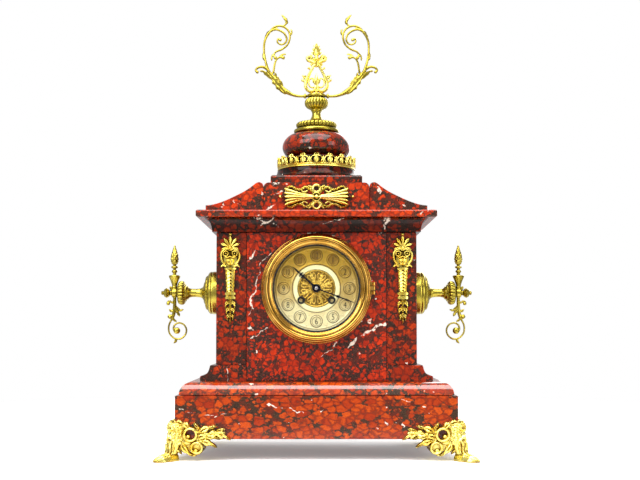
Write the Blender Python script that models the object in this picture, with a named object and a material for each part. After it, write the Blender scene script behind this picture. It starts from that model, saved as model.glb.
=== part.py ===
"""Mantel clock: a red marble case with gilt bronze mounts and a striking movement.

Sizes are in millimetres and become metres in add(). +Z is up, the dial faces -Y, left is -X,
and the origin is on the floor under the middle of the clock.
"""

import math

import bmesh
import bpy
from mathutils import Matrix, Vector

MM = 0.001
GAP = 0.3  # between pieces that rest on or in each other
SIDES = {"left": -1, "right": 1}

# Marble case: half widths (X), half depths (Y) and heights of the top faces
PLINTH_X, PLINTH_Y = 177.3, 108.0
PLINTH_LOW, PLINTH_TOP = 26.6, 80.6
PLINTH_WALL, PLINTH_ROOF = 20.0, 14.0
LEDGE_X, LEDGE_TOP, LEDGE_ROUND = 173.0, 97.0, 15.0
BODY_X, BODY_Y, BODY_TOP = 129.7, 70.0, 289.3
WALL = 14.0
PANEL_X = 90.2
PILASTER_SETBACK = 2.0
BASE_FOOT_X, BASE_HEAD_X, BASE_TOP = 150.0, 136.6, 117.5
COVE_FOOT_X, COVE_HEAD_X, COVE_TOP = 134.8, 144.0, 306.9
CORNICE_X, CORNICE_TOP = 154.0, 316.3
BLOCK_X, BLOCK_Y, BLOCK_TOP = 68.5, 72.0, 354.0
SCROLL_Y = 68.0
TOP_SLAB, TOP_SLAB_TOP = 60.0, 365.6
DRUM_TOP, CUSHION_TOP = 397.6, 430.0

# Dial, bezel and movement
DIAL_Z = 216.5
HOLE_R = 62.0
DIAL_R = 57.4
WINDING_X, WINDING_Z = 19.7, -15.3
BEZEL_HINGE = (73.8, -76.2)
DOOR_HINGE = (-68.2, 73.9)
PLATE_R = 42.0
FRONT_PLATE = (-62.0, -59.5)
BACK_PLATE = (-24.0, -21.5)
THIRD = (5.0, 15.2)
ESCAPE = (0.0, 26.0)
ANCHOR = (0.0, 37.0)
STRIKE = (-21.87, 9.54)
HAMMER = (-33.0, 10.0)
MOTION = (0.0, -10.0)
PENDULUM = (-14.0, 38.5)
BELL_Z = -4.0
MINUTE_DEG, HOUR_DEG = 111.0, 312.0
ROD_R, ROD_HOLE_R = 3.0, 3.4

# Side sconces and top ornament
SCONCE_Z = 213.0
BRANCH_X = 192.8


def material(name, colour, roughness, metallic=0.0, alpha=1.0):
    made = bpy.data.materials.new(name)
    made.use_nodes = True
    shader = made.node_tree.nodes["Principled BSDF"]
    shader.inputs["Base Color"].default_value = (*colour, 1.0)
    shader.inputs["Roughness"].default_value = roughness
    shader.inputs["Metallic"].default_value = metallic
    shader.inputs["Alpha"].default_value = alpha
    return made


def add(name, bm, finish=None, pivot=(0, 0, 0)):
    """Makes an object from a bmesh in millimetres, with its origin at the pivot."""
    bmesh.ops.recalc_face_normals(bm, faces=bm.faces)
    if bm.calc_volume(signed=True) < 0:
        bmesh.ops.reverse_faces(bm, faces=bm.faces)
    bm.transform(Matrix.Scale(MM, 4) @ Matrix.Translation(-Vector(pivot)))
    mesh = bpy.data.meshes.new(name)
    bm.to_mesh(mesh)
    bm.free()
    mesh.shade_smooth()
    mesh.set_sharp_from_angle(angle=math.radians(35))
    if finish:
        mesh.materials.append(finish)
    made = bpy.data.objects.new(name, mesh)
    made.location = Vector(pivot) * MM
    bpy.context.scene.collection.objects.link(made)
    return made


def combine(target, operation, shapes, solver="EXACT"):
    """Adds a Boolean for each shape, which becomes a hidden tool object."""
    for number, shape in enumerate(shapes):
        tool = add(f"{target.name}_{operation.lower()}_{number}", shape)
        tool.hide_render = True
        tool.display_type = "WIRE"
        modifier = target.modifiers.new(tool.name, "BOOLEAN")
        modifier.operation = operation
        modifier.object = tool
        modifier.solver = solver
    return target


def loft(*rings):
    """A closed solid whose skin runs through rings of equally many points."""
    bm = bmesh.new()
    loops = [[bm.verts.new(point) for point in ring] for ring in rings]
    for low, high in zip(loops, loops[1:]):
        for i, corner in enumerate(low):
            j = (i + 1) % len(low)
            bm.faces.new((corner, low[j], high[j], high[i]))
    bm.faces.new(reversed(loops[0]))
    bm.faces.new(loops[-1])
    return bm


def prism(outline, low, high, along="Y"):
    """An outline of (X, Z) points drawn out along Y, or of (X, Y) points along Z."""
    if along == "Y":
        return loft(*([(x, end, z) for x, z in outline] for end in (low, high)))
    return loft(*([(x, y, end) for x, y in outline] for end in (low, high)))


def box(low, high):
    (x0, y0, z0), (x1, y1, z1) = low, high
    return prism([(x0, z0), (x1, z0), (x1, z1), (x0, z1)], y0, y1)


def stack(levels):
    """A slab with moulded edges: rectangles (X low, X high, half depth, height) skinned together."""
    return loft(*([(a, -y, z), (b, -y, z), (b, y, z), (a, y, z)] for a, b, y, z in levels))


def lathe(profile, axis="Z", centre=(0, 0), segments=24):
    """Spins (radius, place along the axis) points. A profile that ends on the axis is solid."""
    bm = bmesh.new()
    points = [bm.verts.new((radius, 0, along)) for radius, along in profile]
    edges = [bm.edges.new(pair) for pair in zip(points, points[1:])]
    if profile[0][0] > 0:
        edges.append(bm.edges.new((points[-1], points[0])))
    bmesh.ops.spin(
        bm, geom=points + edges, axis=(0, 0, 1), angle=math.tau, steps=segments, use_merge=True
    )
    bmesh.ops.remove_doubles(bm, verts=bm.verts, dist=0.001)
    for vert in bm.verts:
        a, b, along = vert.co
        a, b = a + centre[0], b + centre[1]
        vert.co = {"X": (along, a, b), "Y": (a, along, b), "Z": (a, b, along)}[axis]
    return bm


def rod(x, z, radius, low, high, segments=8):
    """A round bar along Y at (X, Z)."""
    return lathe([(0, low), (radius, low), (radius, high), (0, high)], "Y", (x, z), segments)


def rods(places, low, high):
    """Several round bars along Y in one mesh, from (X, Z, radius)."""
    bm = bmesh.new()
    sides = 8
    for x, z, radius in places:
        turns = [math.tau * k / sides for k in range(sides)]
        outline = [(x + radius * math.cos(t), z + radius * math.sin(t)) for t in turns]
        ends = [[bm.verts.new((a, y, b)) for a, b in outline] for y in (low, high)]
        for i in range(sides):
            j = (i + 1) % sides
            bm.faces.new((ends[0][i], ends[0][j], ends[1][j], ends[1][i]))
        bm.faces.new(reversed(ends[0]))
        bm.faces.new(ends[1])
    return bm


def through(points, steps=3):
    """Points along a smooth Catmull-Rom curve through the given ones."""
    ends = [points[0], *points, points[-1]]
    path = []
    for four in zip(ends, ends[1:], ends[2:], ends[3:]):
        for t in (step / steps for step in range(steps)):
            path.append([
                q + 0.5 * t * (r - p + t * (2 * p - 5 * q + 4 * r - s + t * (3 * (q - r) + s - p)))
                for p, q, r, s in zip(*four)
            ])
    return [*path, points[-1]]


def branch(points, y=0.0, depth=None, sides=6, steps=3):
    """A bar along (X, Z, radius) points at one Y, round or with its own half depth."""
    path = through(points, steps)
    rings = []
    for i, (x, z, radius) in enumerate(path):
        before, after = path[max(i - 1, 0)], path[min(i + 1, len(path) - 1)]
        dx, dz = after[0] - before[0], after[1] - before[1]
        length = math.hypot(dx, dz)
        ring = []
        for turn in (math.tau * (k + 0.5) / sides for k in range(sides)):
            across = radius * math.cos(turn)
            out = (depth or radius) * math.sin(turn)
            ring.append((x - across * dz / length, y + out, z + across * dx / length))
        rings.append(ring)
    return loft(*rings)


def mirrored(points, side=-1):
    return [(side * x, *rest) for x, *rest in points]


def arc(centre, radius, start, end, count):
    """(X, Z) points on a circle, the angles in degrees from +X towards +Z."""
    turns = [math.radians(start + (end - start) * k / (count - 1)) for k in range(count)]
    return [(centre[0] + radius * math.cos(t), centre[1] + radius * math.sin(t)) for t in turns]


def depth_at(half_width):
    """The mouldings stand out as far at the front as at the sides."""
    return half_width - BODY_X + BODY_Y


def rod_hole():
    low, high = BODY_TOP - 5, DRUM_TOP + 5
    return lathe([(0, low), (ROD_HOLE_R, low), (ROD_HOLE_R, high), (0, high)], segments=10)


def build_base(marble):
    plinth = add("plinth", stack([
        (-PLINTH_X, PLINTH_X, PLINTH_Y, PLINTH_LOW),
        (-PLINTH_X, PLINTH_X, PLINTH_Y, PLINTH_TOP),
    ]), marble)
    inner_x, inner_y = PLINTH_X - PLINTH_WALL, PLINTH_Y - PLINTH_WALL
    hollow = box(
        (-inner_x, -inner_y, PLINTH_LOW - 5), (inner_x, inner_y, PLINTH_TOP - PLINTH_ROOF)
    )
    combine(plinth, "DIFFERENCE", [hollow])

    levels = []
    for step in range(7):
        turn = math.radians(15 * step)
        half = LEDGE_X - LEDGE_ROUND * (1 - math.cos(turn))
        height = LEDGE_TOP - LEDGE_ROUND * (1 - math.sin(turn))
        levels.append((-half, half, half - PLINTH_X + PLINTH_Y, height))
    first = (-LEDGE_X, LEDGE_X, levels[0][2], PLINTH_TOP + GAP)
    add("plinth_ledge", stack([first, *levels]), marble)

    foot, head = LEDGE_TOP + GAP, BASE_TOP
    curve = [(0, 0), (0, 0.3), (0.5, 0.38), (0.8, 0.55), (0.9, 0.8), (1, 1)]
    for name, side in SIDES.items():
        levels = []
        for inwards, up in curve:
            outer = BASE_FOOT_X + (BASE_HEAD_X - BASE_FOOT_X) * inwards
            ends = sorted((side * (PANEL_X + GAP), side * outer))
            levels.append((*ends, BODY_Y, foot + (head - foot) * up))
        add(f"base_block_{name}", stack(levels), marble)


def build_walls(marble):
    foot, head = BASE_TOP + GAP, BODY_TOP
    for name, side in SIDES.items():
        plan = [
            (PANEL_X + GAP, PILASTER_SETBACK - BODY_Y), (BODY_X, PILASTER_SETBACK - BODY_Y),
            (BODY_X, BODY_Y), (BODY_X - WALL, BODY_Y),
            (BODY_X - WALL, WALL - BODY_Y), (PANEL_X + GAP, WALL - BODY_Y),
        ]
        add(f"side_wall_{name}", prism(mirrored(plan, side), foot, head, "Z"), marble)
    hole = rod(0, DIAL_Z, HOLE_R, -BODY_Y - 5, WALL - BODY_Y + 5, 48)
    low = LEDGE_TOP + GAP
    front = add(
        "front_panel", box((-PANEL_X, -BODY_Y, low), (PANEL_X, WALL - BODY_Y, head)), marble
    )
    combine(front, "DIFFERENCE", [hole])
    wide = BODY_X - WALL - GAP
    outline = [
        (-PANEL_X, low), (PANEL_X, low), (PANEL_X, foot), (wide, foot),
        (wide, head), (-wide, head), (-wide, foot), (-PANEL_X, foot),
    ]
    back = add("back_panel", prism(outline, BODY_Y - WALL, BODY_Y), marble)
    combine(back, "DIFFERENCE", [rod(0, DIAL_Z, HOLE_R, BODY_Y - WALL - 5, BODY_Y + 5, 48)])


def build_cornice(marble):
    levels = []
    for step in range(7):
        turn = math.radians(15 * step)
        half = COVE_HEAD_X - (COVE_HEAD_X - COVE_FOOT_X) * math.cos(turn)
        height = BODY_TOP + GAP + (COVE_TOP - BODY_TOP - GAP) * math.sin(turn)
        levels.append((-half, half, depth_at(half), height))
    combine(add("cornice_cove", stack(levels), marble), "DIFFERENCE", [rod_hole()])
    slab = [
        (-half, half, depth_at(half), height)
        for half, height in (
            (CORNICE_X - 1.5, COVE_TOP + GAP), (CORNICE_X, COVE_TOP + 1.5),
            (CORNICE_X, CORNICE_TOP - 1.5), (CORNICE_X - 1.5, CORNICE_TOP),
        )
    ]
    combine(add("cornice_slab", stack(slab), marble), "DIFFERENCE", [rod_hole()])


def build_pediment(marble):
    low = CORNICE_TOP + GAP
    round_r = 6.0
    right = [(BLOCK_X, low), (BLOCK_X, BLOCK_TOP - round_r - 2)]
    right += arc((BLOCK_X - round_r, BLOCK_TOP - round_r), round_r, 0, 90, 4)
    outline = right + mirrored(reversed(right))
    block = add("pediment_block", prism(outline, -BLOCK_Y, BLOCK_Y), marble)
    combine(block, "DIFFERENCE", [rod_hole()])
    edge = BLOCK_X + GAP
    profile = [
        (edge, low), (144.0, low), (144.0, 324.6), (130.0, 327.0), (117.6, 331.4),
        (98.7, 340.4), (87.5, 347.0), (79.7, 353.2), (74.6, 355.0), (70.8, 353.4), (edge, 349.0),
    ]
    for name, side in SIDES.items():
        add(f"pediment_scroll_{name}", prism(mirrored(profile, side), -SCROLL_Y, SCROLL_Y), marble)
    slab = [
        (-half, half, half, height)
        for half, height in (
            (TOP_SLAB - 1, BLOCK_TOP + GAP), (TOP_SLAB, BLOCK_TOP + 1.5),
            (TOP_SLAB, TOP_SLAB_TOP - 2.0), (TOP_SLAB - 2, TOP_SLAB_TOP),
        )
    ]
    combine(add("top_slab", stack(slab), marble), "DIFFERENCE", [rod_hole()])
    drum = [
        (ROD_HOLE_R, DRUM_TOP), (38.0, DRUM_TOP), (50.0, 394.0), (50.0, 378.4), (53.4, 378.4),
        (54.6, 373.0), (57.4, 368.5), (57.4, TOP_SLAB_TOP + GAP), (ROD_HOLE_R, TOP_SLAB_TOP + GAP),
    ]
    add("drum", lathe(drum, segments=20), marble)
    cushion = [
        (ROD_HOLE_R, CUSHION_TOP), (30.5, CUSHION_TOP), (37.0, 427.5), (43.0, 421.5),
        (46.4, 413.0), (46.0, 407.5), (42.5, 401.5), (39.0, DRUM_TOP + GAP),
        (ROD_HOLE_R, DRUM_TOP + GAP),
    ]
    add("cushion", lathe(cushion, segments=20), marble)


def build_gallery(gilt):
    """A ring round the drum whose upper edge rises to 18 leaf points."""
    points, inner, outer, low = 18, 50.4, 53.5, 378.4 + GAP
    rises = (388.0, 396.0, 391.0)
    steps = len(rises) * points
    bm = bmesh.new()
    rings = []
    for step in range(steps):
        turn = math.tau * step / steps
        cos, sin, top = math.cos(turn), math.sin(turn), rises[step % len(rises)]
        corners = ((inner, low), (outer, low), (outer, top), (inner, top))
        rings.append([bm.verts.new((r * cos, r * sin, z)) for r, z in corners])
    for step, ring in enumerate(rings):
        following = rings[(step + 1) % steps]
        for i in range(4):
            j = (i + 1) % 4
            bm.faces.new((ring[i], following[i], following[j], ring[j]))
    add("gallery", bm, gilt)


def build_vase(gilt, steel):
    foot = [
        (ROD_HOLE_R, 446.0), (24.0, 446.0), (27.8, 443.5), (27.8, 440.0), (25.0, 437.4),
        (30.6, 435.5), (30.6, 431.5), (28.5, CUSHION_TOP + GAP), (ROD_HOLE_R, CUSHION_TOP + GAP),
    ]
    add("vase_foot", lathe(foot, segments=20), gilt)
    vase = [
        (0, 485.0), (12.3, 485.0), (12.3, 480.6), (10.0, 479.6), (14.0, 478.4), (16.3, 472.5),
        (13.5, 466.5), (8.0, 463.5), (6.0, 459.0), (6.2, 455.0), (9.0, 449.0), (12.0, 446.0 + GAP),
        (ROD_HOLE_R, 446.0 + GAP), (ROD_HOLE_R, 461.0), (0, 461.0),
    ]
    add("vase", lathe(vase, segments=18), gilt)
    nut_r, nut_low, nut_high = 9.0, 283.0, BODY_TOP
    rod_profile = [
        (0, 460.0), (ROD_R, 460.0), (ROD_R, nut_high), (nut_r, nut_high), (nut_r, nut_low),
        (ROD_R, nut_low), (ROD_R, nut_low - 4), (0, nut_low - 4),
    ]
    add("tie_rod", lathe(rod_profile, segments=10), steel)


def build_arms(gilt):
    """A pair of scrolling leafy branches that rise from the vase."""
    stem = [
        (12.7, 482.6, 1.9), (27.7, 483.0, 2.2), (36.9, 486.4, 2.6), (43.0, 490.0, 2.8),
        (54.0, 502.0, 2.6), (65.0, 516.0, 2.5), (70.0, 533.0, 1.8), (71.9, 546.3, 1.6),
        (70.6, 559.9, 1.6), (64.2, 571.7, 1.6), (55.0, 575.2, 1.5), (46.0, 571.5, 1.4),
        (40.9, 562.5, 1.3), (43.3, 556.0, 1.2), (49.3, 553.6, 1.2), (53.5, 557.8, 1.2),
    ]
    outer = [
        (63.5, 572.5, 1.4), (58.7, 578.6, 1.4), (47.8, 580.4, 1.4), (40.0, 576.3, 1.4),
        (36.2, 568.9, 1.4), (37.0, 559.5, 1.4), (40.5, 552.0, 1.4), (47.8, 546.6, 1.3),
        (55.0, 543.9, 1.2), (58.3, 539.9, 1.2), (56.4, 535.4, 1.6),
    ]
    inner = [
        (62.5, 511.5, 1.6), (58.2, 517.0, 1.6), (57.7, 525.2, 1.5), (55.0, 533.0, 1.3),
        (50.5, 536.2, 1.3), (45.0, 535.6, 2.0),
    ]
    curl = [(64.0, 516.0, 1.9), (70.5, 521.0, 1.8), (78.0, 522.5, 1.7), (83.7, 518.0, 1.4)]
    leaf = [
        (47.0, 579.0, 1.4), (41.4, 583.5, 1.5), (43.0, 588.0, 1.8), (44.5, 592.0, 1.7),
        (48.2, 595.4, 1.2),
    ]
    for name, side in SIDES.items():
        arm = add(f"arm_{name}", branch(mirrored(stem, side), steps=2), gilt)
        parts = [
            branch(mirrored(path, side), sides=5, steps=1) for path in (outer, inner, curl, leaf)
        ]
        combine(arm, "UNION", parts)


def build_finial(gilt):
    """An open pear of two scrolling ribs round a leafy stem."""
    stem = [
        (0, 485.3, 5.0), (0, 487.5, 4.0), (0, 491.0, 2.0), (0, 503.0, 2.2), (0, 508.0, 3.6),
        (0, 514.0, 1.8), (0, 526.0, 2.6), (0, 533.0, 2.4), (0, 538.0, 4.5), (0, 543.0, 2.4),
        (0, 547.0, 5.4), (0, 551.0, 3.0), (0, 556.5, 0.6),
    ]
    finial = add("finial", branch(stem, steps=1, sides=8), gilt)
    rib = [
        (1.0, 489.5, 1.6), (9.5, 491.5, 1.7), (15.0, 499.0, 1.8), (13.0, 508.0, 1.6),
        (8.5, 516.0, 1.5), (4.0, 522.0, 1.5), (0.5, 526.5, 1.5),
    ]
    volute = [(0.5, 529.0, 1.5), (6.0, 531.0, 1.4), (11.5, 534.5, 1.7), (10.0, 539.0, 1.9)]
    for side in SIDES.values():
        ribs = [branch(mirrored(path, side), sides=5, steps=1) for path in (rib, volute)]
        combine(finial, "UNION", ribs)


def build_front_mounts(gilt):
    half = [
        (50.3, 335.0, 0.8), (48.6, 335.0, 2.4), (46.0, 335.0, 1.4), (41.0, 335.0, 7.0),
        (37.0, 335.0, 6.6), (20.0, 335.0, 4.6), (7.0, 335.0, 3.0), (3.5, 335.0, 4.6),
    ]
    y, depth = -BLOCK_Y - GAP - 4.0, 4.0
    cones = mirrored(half) + [(0, 335.0, 4.8)] + half[::-1]
    mount = add("pediment_mount", branch(cones, y, depth, 6, 1), gilt)
    bows = []
    for up in (-1, 1):
        loop = [
            (-11.0, 3.0, 1.7), (-15.5, 9.0, 1.7), (-9.0, 14.0, 1.8), (0, 8.0, 2.0),
            (9.0, 14.0, 1.8), (15.5, 9.0, 1.7), (11.0, 3.0, 1.7),
        ]
        bows.append(branch([(x, 335.0 + up * z, r) for x, z, r in loop], y, 2.4, 5, 1))
        for side in SIDES.values():
            tail = [(14.0, 8.0, 1.4), (24.0, 12.5, 1.7), (34.0, 9.5, 1.5), (42.0, 5.0, 1.5)]
            points = [(side * x, 335.0 + up * z, r) for x, z, r in tail]
            bows.append(branch(points, y, 2.0, 5, 1))
    combine(mount, "UNION", bows)

    widths = [
        (287.0, 0.8), (285.0, 3.2), (282.0, 3.4), (279.5, 2.2), (274.0, 8.0), (268.0, 12.0),
        (261.0, 9.0), (257.0, 11.5), (251.0, 12.4), (246.0, 11.6), (241.5, 6.5), (226.0, 5.8),
        (211.0, 5.2), (207.0, 6.6), (202.5, 4.4), (197.0, 7.4), (186.0, 5.4), (177.0, 3.2),
        (170.7, 0.8),
    ]
    y = PILASTER_SETBACK - BODY_Y - GAP - 3.4
    for name, side in SIDES.items():
        path = [(side * 111.5, z, r) for z, r in widths]
        add(f"pilaster_mount_{name}", branch(path, y, 3.4, 8, 1), gilt)


def build_sconces(gilt):
    """On each side a turned stem, a branch with a candle-like bud over a scroll, and a knob."""
    stem = [
        (0, 188.6), (12.0, 188.6), (16.2, 185.0), (16.2, 179.5), (12.0, 176.5), (8.9, 175.5),
        (8.9, 173.5), (6.0, 170.0), (6.0, 160.0), (8.5, 153.5), (20.0, 151.0), (25.0, 147.5),
        (28.8, 143.5), (28.8, BODY_X + GAP), (0, BODY_X + GAP),
    ]
    hub = [(0, 189.2), (6.0, 189.2), (6.0, 196.4), (0, 196.4)]
    knob = [
        (0, 196.7), (3.5, 196.7), (3.5, 198.5), (6.8, 201.5), (6.8, 205.5), (3.2, 208.0),
        (1.6, 210.9), (0, 210.9),
    ]
    bud = [
        (0, 279.0), (1.0, 278.5), (2.6, 271.0), (5.2, 260.0), (4.6, 253.5), (2.0, 250.5),
        (4.5, 249.0), (4.5, 247.0), (2.0, 245.5), (3.8, 243.0), (3.8, 241.0), (2.4, 238.5),
        (7.8, 236.5), (7.6, 234.5), (4.0, 227.5), (2.8, 222.0), (2.8, 212.0), (0, 212.0),
    ]
    scroll = [
        (192.8, 212.0, 2.4), (192.4, 203.0, 2.2), (191.6, 192.0, 2.4), (194.8, 181.0, 2.4),
        (199.6, 171.0, 2.2), (200.4, 161.0, 2.1), (195.5, 152.5, 2.0), (187.5, 150.2, 1.9),
        (179.5, 154.0, 1.8), (177.4, 162.0, 1.8), (181.0, 168.0, 1.8), (187.5, 167.4, 3.4),
        (188.6, 163.5, 3.6),
    ]
    for name, side in SIDES.items():
        centre = (0, SCONCE_Z)
        spun = [(radius, side * along) for radius, along in stem]
        add(f"sconce_stem_{name}", lathe(spun, "X", centre, 18), gilt)
        spun = [(radius, side * along) for radius, along in hub]
        arm = add(f"sconce_branch_{name}", lathe(spun, "X", centre, 12), gilt)
        upper = lathe(bud, "Z", (side * BRANCH_X, 0), 10)
        combine(arm, "UNION", [upper, branch(mirrored(scroll, side), steps=2)])
        spun = [(radius, side * along) for radius, along in knob]
        add(f"sconce_knob_{name}", lathe(spun, "X", centre, 12), gilt)


def build_feet(gilt):
    """Corner feet: a toe and mask on the diagonal, and a leaf wing along each plinth face."""
    levels = [
        (0, 12.0, 18.5, 7.5), (4, 12.0, 18.5, 8.5), (8, 9.0, 15.5, 8.0), (14, 4.0, 11.0, 8.0),
        (24, 6.0, 11.0, 10.0), (32, 7.0, 12.0, 13.0), (41, 6.5, 11.5, 12.0), (47, 4.0, 9.0, 8.0),
        (50, 2.0, 6.0, 4.0),
    ]
    wing = [
        (4, 44), (-12, 46), (-22, 38), (-34, 43), (-44, 38), (-54, 40), (-66, 32), (-70, 24),
        (-62, 15), (-48, 20), (-36, 9), (-20, 6), (-6, 12),
    ]
    thick = 7.0
    diagonal = 1 / math.sqrt(2)
    for depth_name, front in (("front", -1), ("back", 1)):
        for name, side in SIDES.items():
            rings = []
            for height, centre, length, width in levels:
                ring = []
                for turn in (math.tau * k / 10 for k in range(10)):
                    out = centre + length * math.cos(turn)
                    across = width * math.sin(turn)
                    x = side * (PLINTH_X + (out + across) * diagonal)
                    ring.append((x, front * (PLINTH_Y + (out - across) * diagonal), height))
                rings.append(ring)
            foot = add(f"foot_{depth_name}_{name}", loft(*rings), gilt)
            face_y = [front * (PLINTH_Y + GAP), front * (PLINTH_Y + GAP + thick)]
            along_x = prism([(side * (PLINTH_X + u), z) for u, z in wing], *sorted(face_y))
            inner, outer = side * (PLINTH_X + GAP), side * (PLINTH_X + GAP + thick)
            along_y = loft(*(
                [(x, front * (PLINTH_Y + u), z) for u, z in wing] for x in (inner, outer)
            ))
            near = (side * (PLINTH_X - 36), front * (PLINTH_Y - 36), 12)
            far = (side * (PLINTH_X + 2), front * (PLINTH_Y + 2), PLINTH_LOW - GAP)
            pad = box([min(pair) for pair in zip(near, far)], [max(pair) for pair in zip(near, far)])
            combine(foot, "UNION", [along_x, along_y, pad], "MANIFOLD")
            reach_x, reach_y = PLINTH_X + GAP, PLINTH_Y + GAP
            room = box((-reach_x, -reach_y, PLINTH_LOW - GAP), (reach_x, reach_y, PLINTH_TOP))
            combine(foot, "DIFFERENCE", [room], "MANIFOLD")


def build_dial(gilt, cream, glass):
    centre = (0, DIAL_Z)
    ring = [
        (71.5, -BODY_Y - GAP), (71.5, -74.0), (69.5, -76.0), (59.0, -76.0), (55.3, -73.5),
        (55.3, -72.3), (57.8, -72.3), (57.8, -42.0), (61.5, -42.0), (61.5, -BODY_Y - GAP),
    ]
    case_ring = add("case_ring", lathe(ring, "Y", centre, 32), gilt)
    x, y = BEZEL_HINGE
    fixings = []
    for up in (-1, 1):
        near, far = sorted((DIAL_Z + up * 3.0, DIAL_Z + up * 8.0))
        fixings.append(box((68.0, -76.0, near), (x, -73.0, far)))
        fixings.append(lathe([(0, near), (1.9, near), (1.9, far), (0, far)], "Z", (x, y), 10))
        strap_x = sorted((up * 58.3, up * 61.0))
        fixings.append(box((strap_x[0], -44.0, DIAL_Z - 5), (strap_x[1], 49.7, DIAL_Z + 5)))
    combine(case_ring, "UNION", fixings)

    plate = add("dial_plate", rod(0, DIAL_Z, DIAL_R, -72.0, -70.0, 32), gilt)
    holes = [(side * WINDING_X, DIAL_Z + WINDING_Z, 3.9) for side in SIDES.values()]
    combine(plate, "DIFFERENCE", [rods([*holes, (0, DIAL_Z, 3.2)], -75, -65)])
    annulus = [(24.6, -72.3), (24.6, -72.9), (30.2, -72.9), (30.2, -72.3)]
    add("enamel_ring", lathe(annulus, "Y", centre, 24), cream)
    rosette = [(4.2, -72.3), (4.2, -73.4), (14.0, -73.0), (24.2, -73.2), (24.2, -72.3)]
    rose = add("dial_rosette", lathe(rosette, "Y", centre, 16), gilt)
    holes = [(side * WINDING_X, DIAL_Z + WINDING_Z, 4.9) for side in SIDES.values()]
    combine(rose, "DIFFERENCE", [rods(holes, -75, -65)])
    combine(bpy.data.objects["enamel_ring"], "DIFFERENCE", [rods(holes, -75, -65)])

    pivot = (x, y, DIAL_Z)
    rim = [
        (66.0, -76.3), (69.3, -76.3), (69.3, -79.5), (67.8, -82.0), (67.8, -88.0), (66.0, -90.3),
        (62.5, -90.3), (57.5, -87.5), (57.5, -86.6), (60.6, -86.6), (60.6, -80.0),
    ]
    bezel = add("bezel", lathe(rim, "Y", centre, 32), gilt, pivot)
    near, far = DIAL_Z - 2.7, DIAL_Z + 2.7
    knuckle = lathe([(0, near), (1.9, near), (1.9, far), (0, far)], "Z", (x, y), 10)
    combine(bezel, "UNION", [box((67.0, -79.0, near), (x, -76.4, far)), knuckle])
    pane = [
        (0, -89.0), (35.0, -88.0), (60.2, -86.2), (60.2, -84.4), (35.0, -86.0), (0, -86.9),
    ]
    add("bezel_glass", lathe(pane, "Y", centre, 24), glass, pivot)


def pointing(outline, degrees):
    """Turns an outline drawn along +Z to point clockwise from 12 o'clock at the dial centre."""
    turn = math.radians(degrees)
    cos, sin = math.cos(turn), math.sin(turn)
    return [(x * cos + z * sin, DIAL_Z + z * cos - x * sin) for x, z in outline]


def build_hands(steel):
    half = [(2.2, 0), (1.1, 6.0), (0.9, 44.0), (0.4, 54.0)]
    outline = [(0, -5.0), *half, *mirrored(half)[::-1]]
    pivot = (0, 0, DIAL_Z)
    minute = add("minute_hand", prism(pointing(outline, MINUTE_DEG), -77.4, -76.6), steel, pivot)
    collet = [
        (0, -79.3), (1.6, -79.1), (2.4, -78.4), (2.4, -76.4), (1.2, -76.4), (1.2, -64.9),
        (2.3, -64.9), (2.3, -63.4), (0, -63.4),
    ]
    combine(minute, "UNION", [lathe(collet, "Y", (0, DIAL_Z), 12)])
    half = [
        (3.2, -2.0), (3.6, 1.0), (1.4, 6.0), (1.2, 24.0), (4.6, 27.0), (4.6, 29.5), (1.6, 31.5),
        (2.0, 35.0), (0.4, 42.0),
    ]
    outline = [(0, -4.2), *half, *mirrored(half)[::-1]]
    hour = add("hour_hand", prism(pointing(outline, HOUR_DEG), -75.6, -74.8), steel, pivot)
    combine(hour, "DIFFERENCE", [rod(0, DIAL_Z, 2.6, -80, -70, 12)])


def build_back(gilt):
    centre = (0, DIAL_Z)
    ring = [
        (66.0, BODY_Y + GAP), (66.0, 72.7), (57.8, 72.7), (57.8, 50.0), (61.5, 50.0),
        (61.5, BODY_Y + GAP),
    ]
    back_ring = add("back_ring", lathe(ring, "Y", centre, 24), gilt)
    x, y = DOOR_HINGE
    fixings = []
    for up in (-1, 1):
        near, far = sorted((DIAL_Z + up * 3.0, DIAL_Z + up * 8.0))
        fixings.append(box((x, BODY_Y + GAP, near), (-64.0, 72.6, far)))
        fixings.append(lathe([(0, near), (1.9, near), (1.9, far), (0, far)], "Z", (x, y), 10))
    combine(back_ring, "UNION", fixings)
    disc = [(0, 73.0), (62.0, 73.0), (63.0, 74.0), (62.0, 75.0), (40.0, 76.2), (0, 76.8)]
    door = add("back_door", lathe(disc, "Y", centre, 24), gilt, (x, y, DIAL_Z))
    near, far = DIAL_Z - 2.7, DIAL_Z + 2.7
    leaf = box((x, 73.0, near), (-60.0, 74.8, far))
    knuckle = lathe([(0, near), (1.9, near), (1.9, far), (0, far)], "Z", (x, y), 10)
    combine(door, "UNION", [leaf, knuckle, rod(52.0, DIAL_Z, 3.2, 74.5, 82.0, 10)])


def arbor(name, place, steps, finish, segments=12):
    """A wheel and its shaft, turned as one about Y, from (radius, Y) steps, front first."""
    profile = [(0, steps[0][1]), *steps, (0, steps[-1][1])]
    x, z = place[0], DIAL_Z + place[1]
    return add(name, lathe(profile, "Y", (x, z), segments), finish, (x, 0, z))


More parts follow.
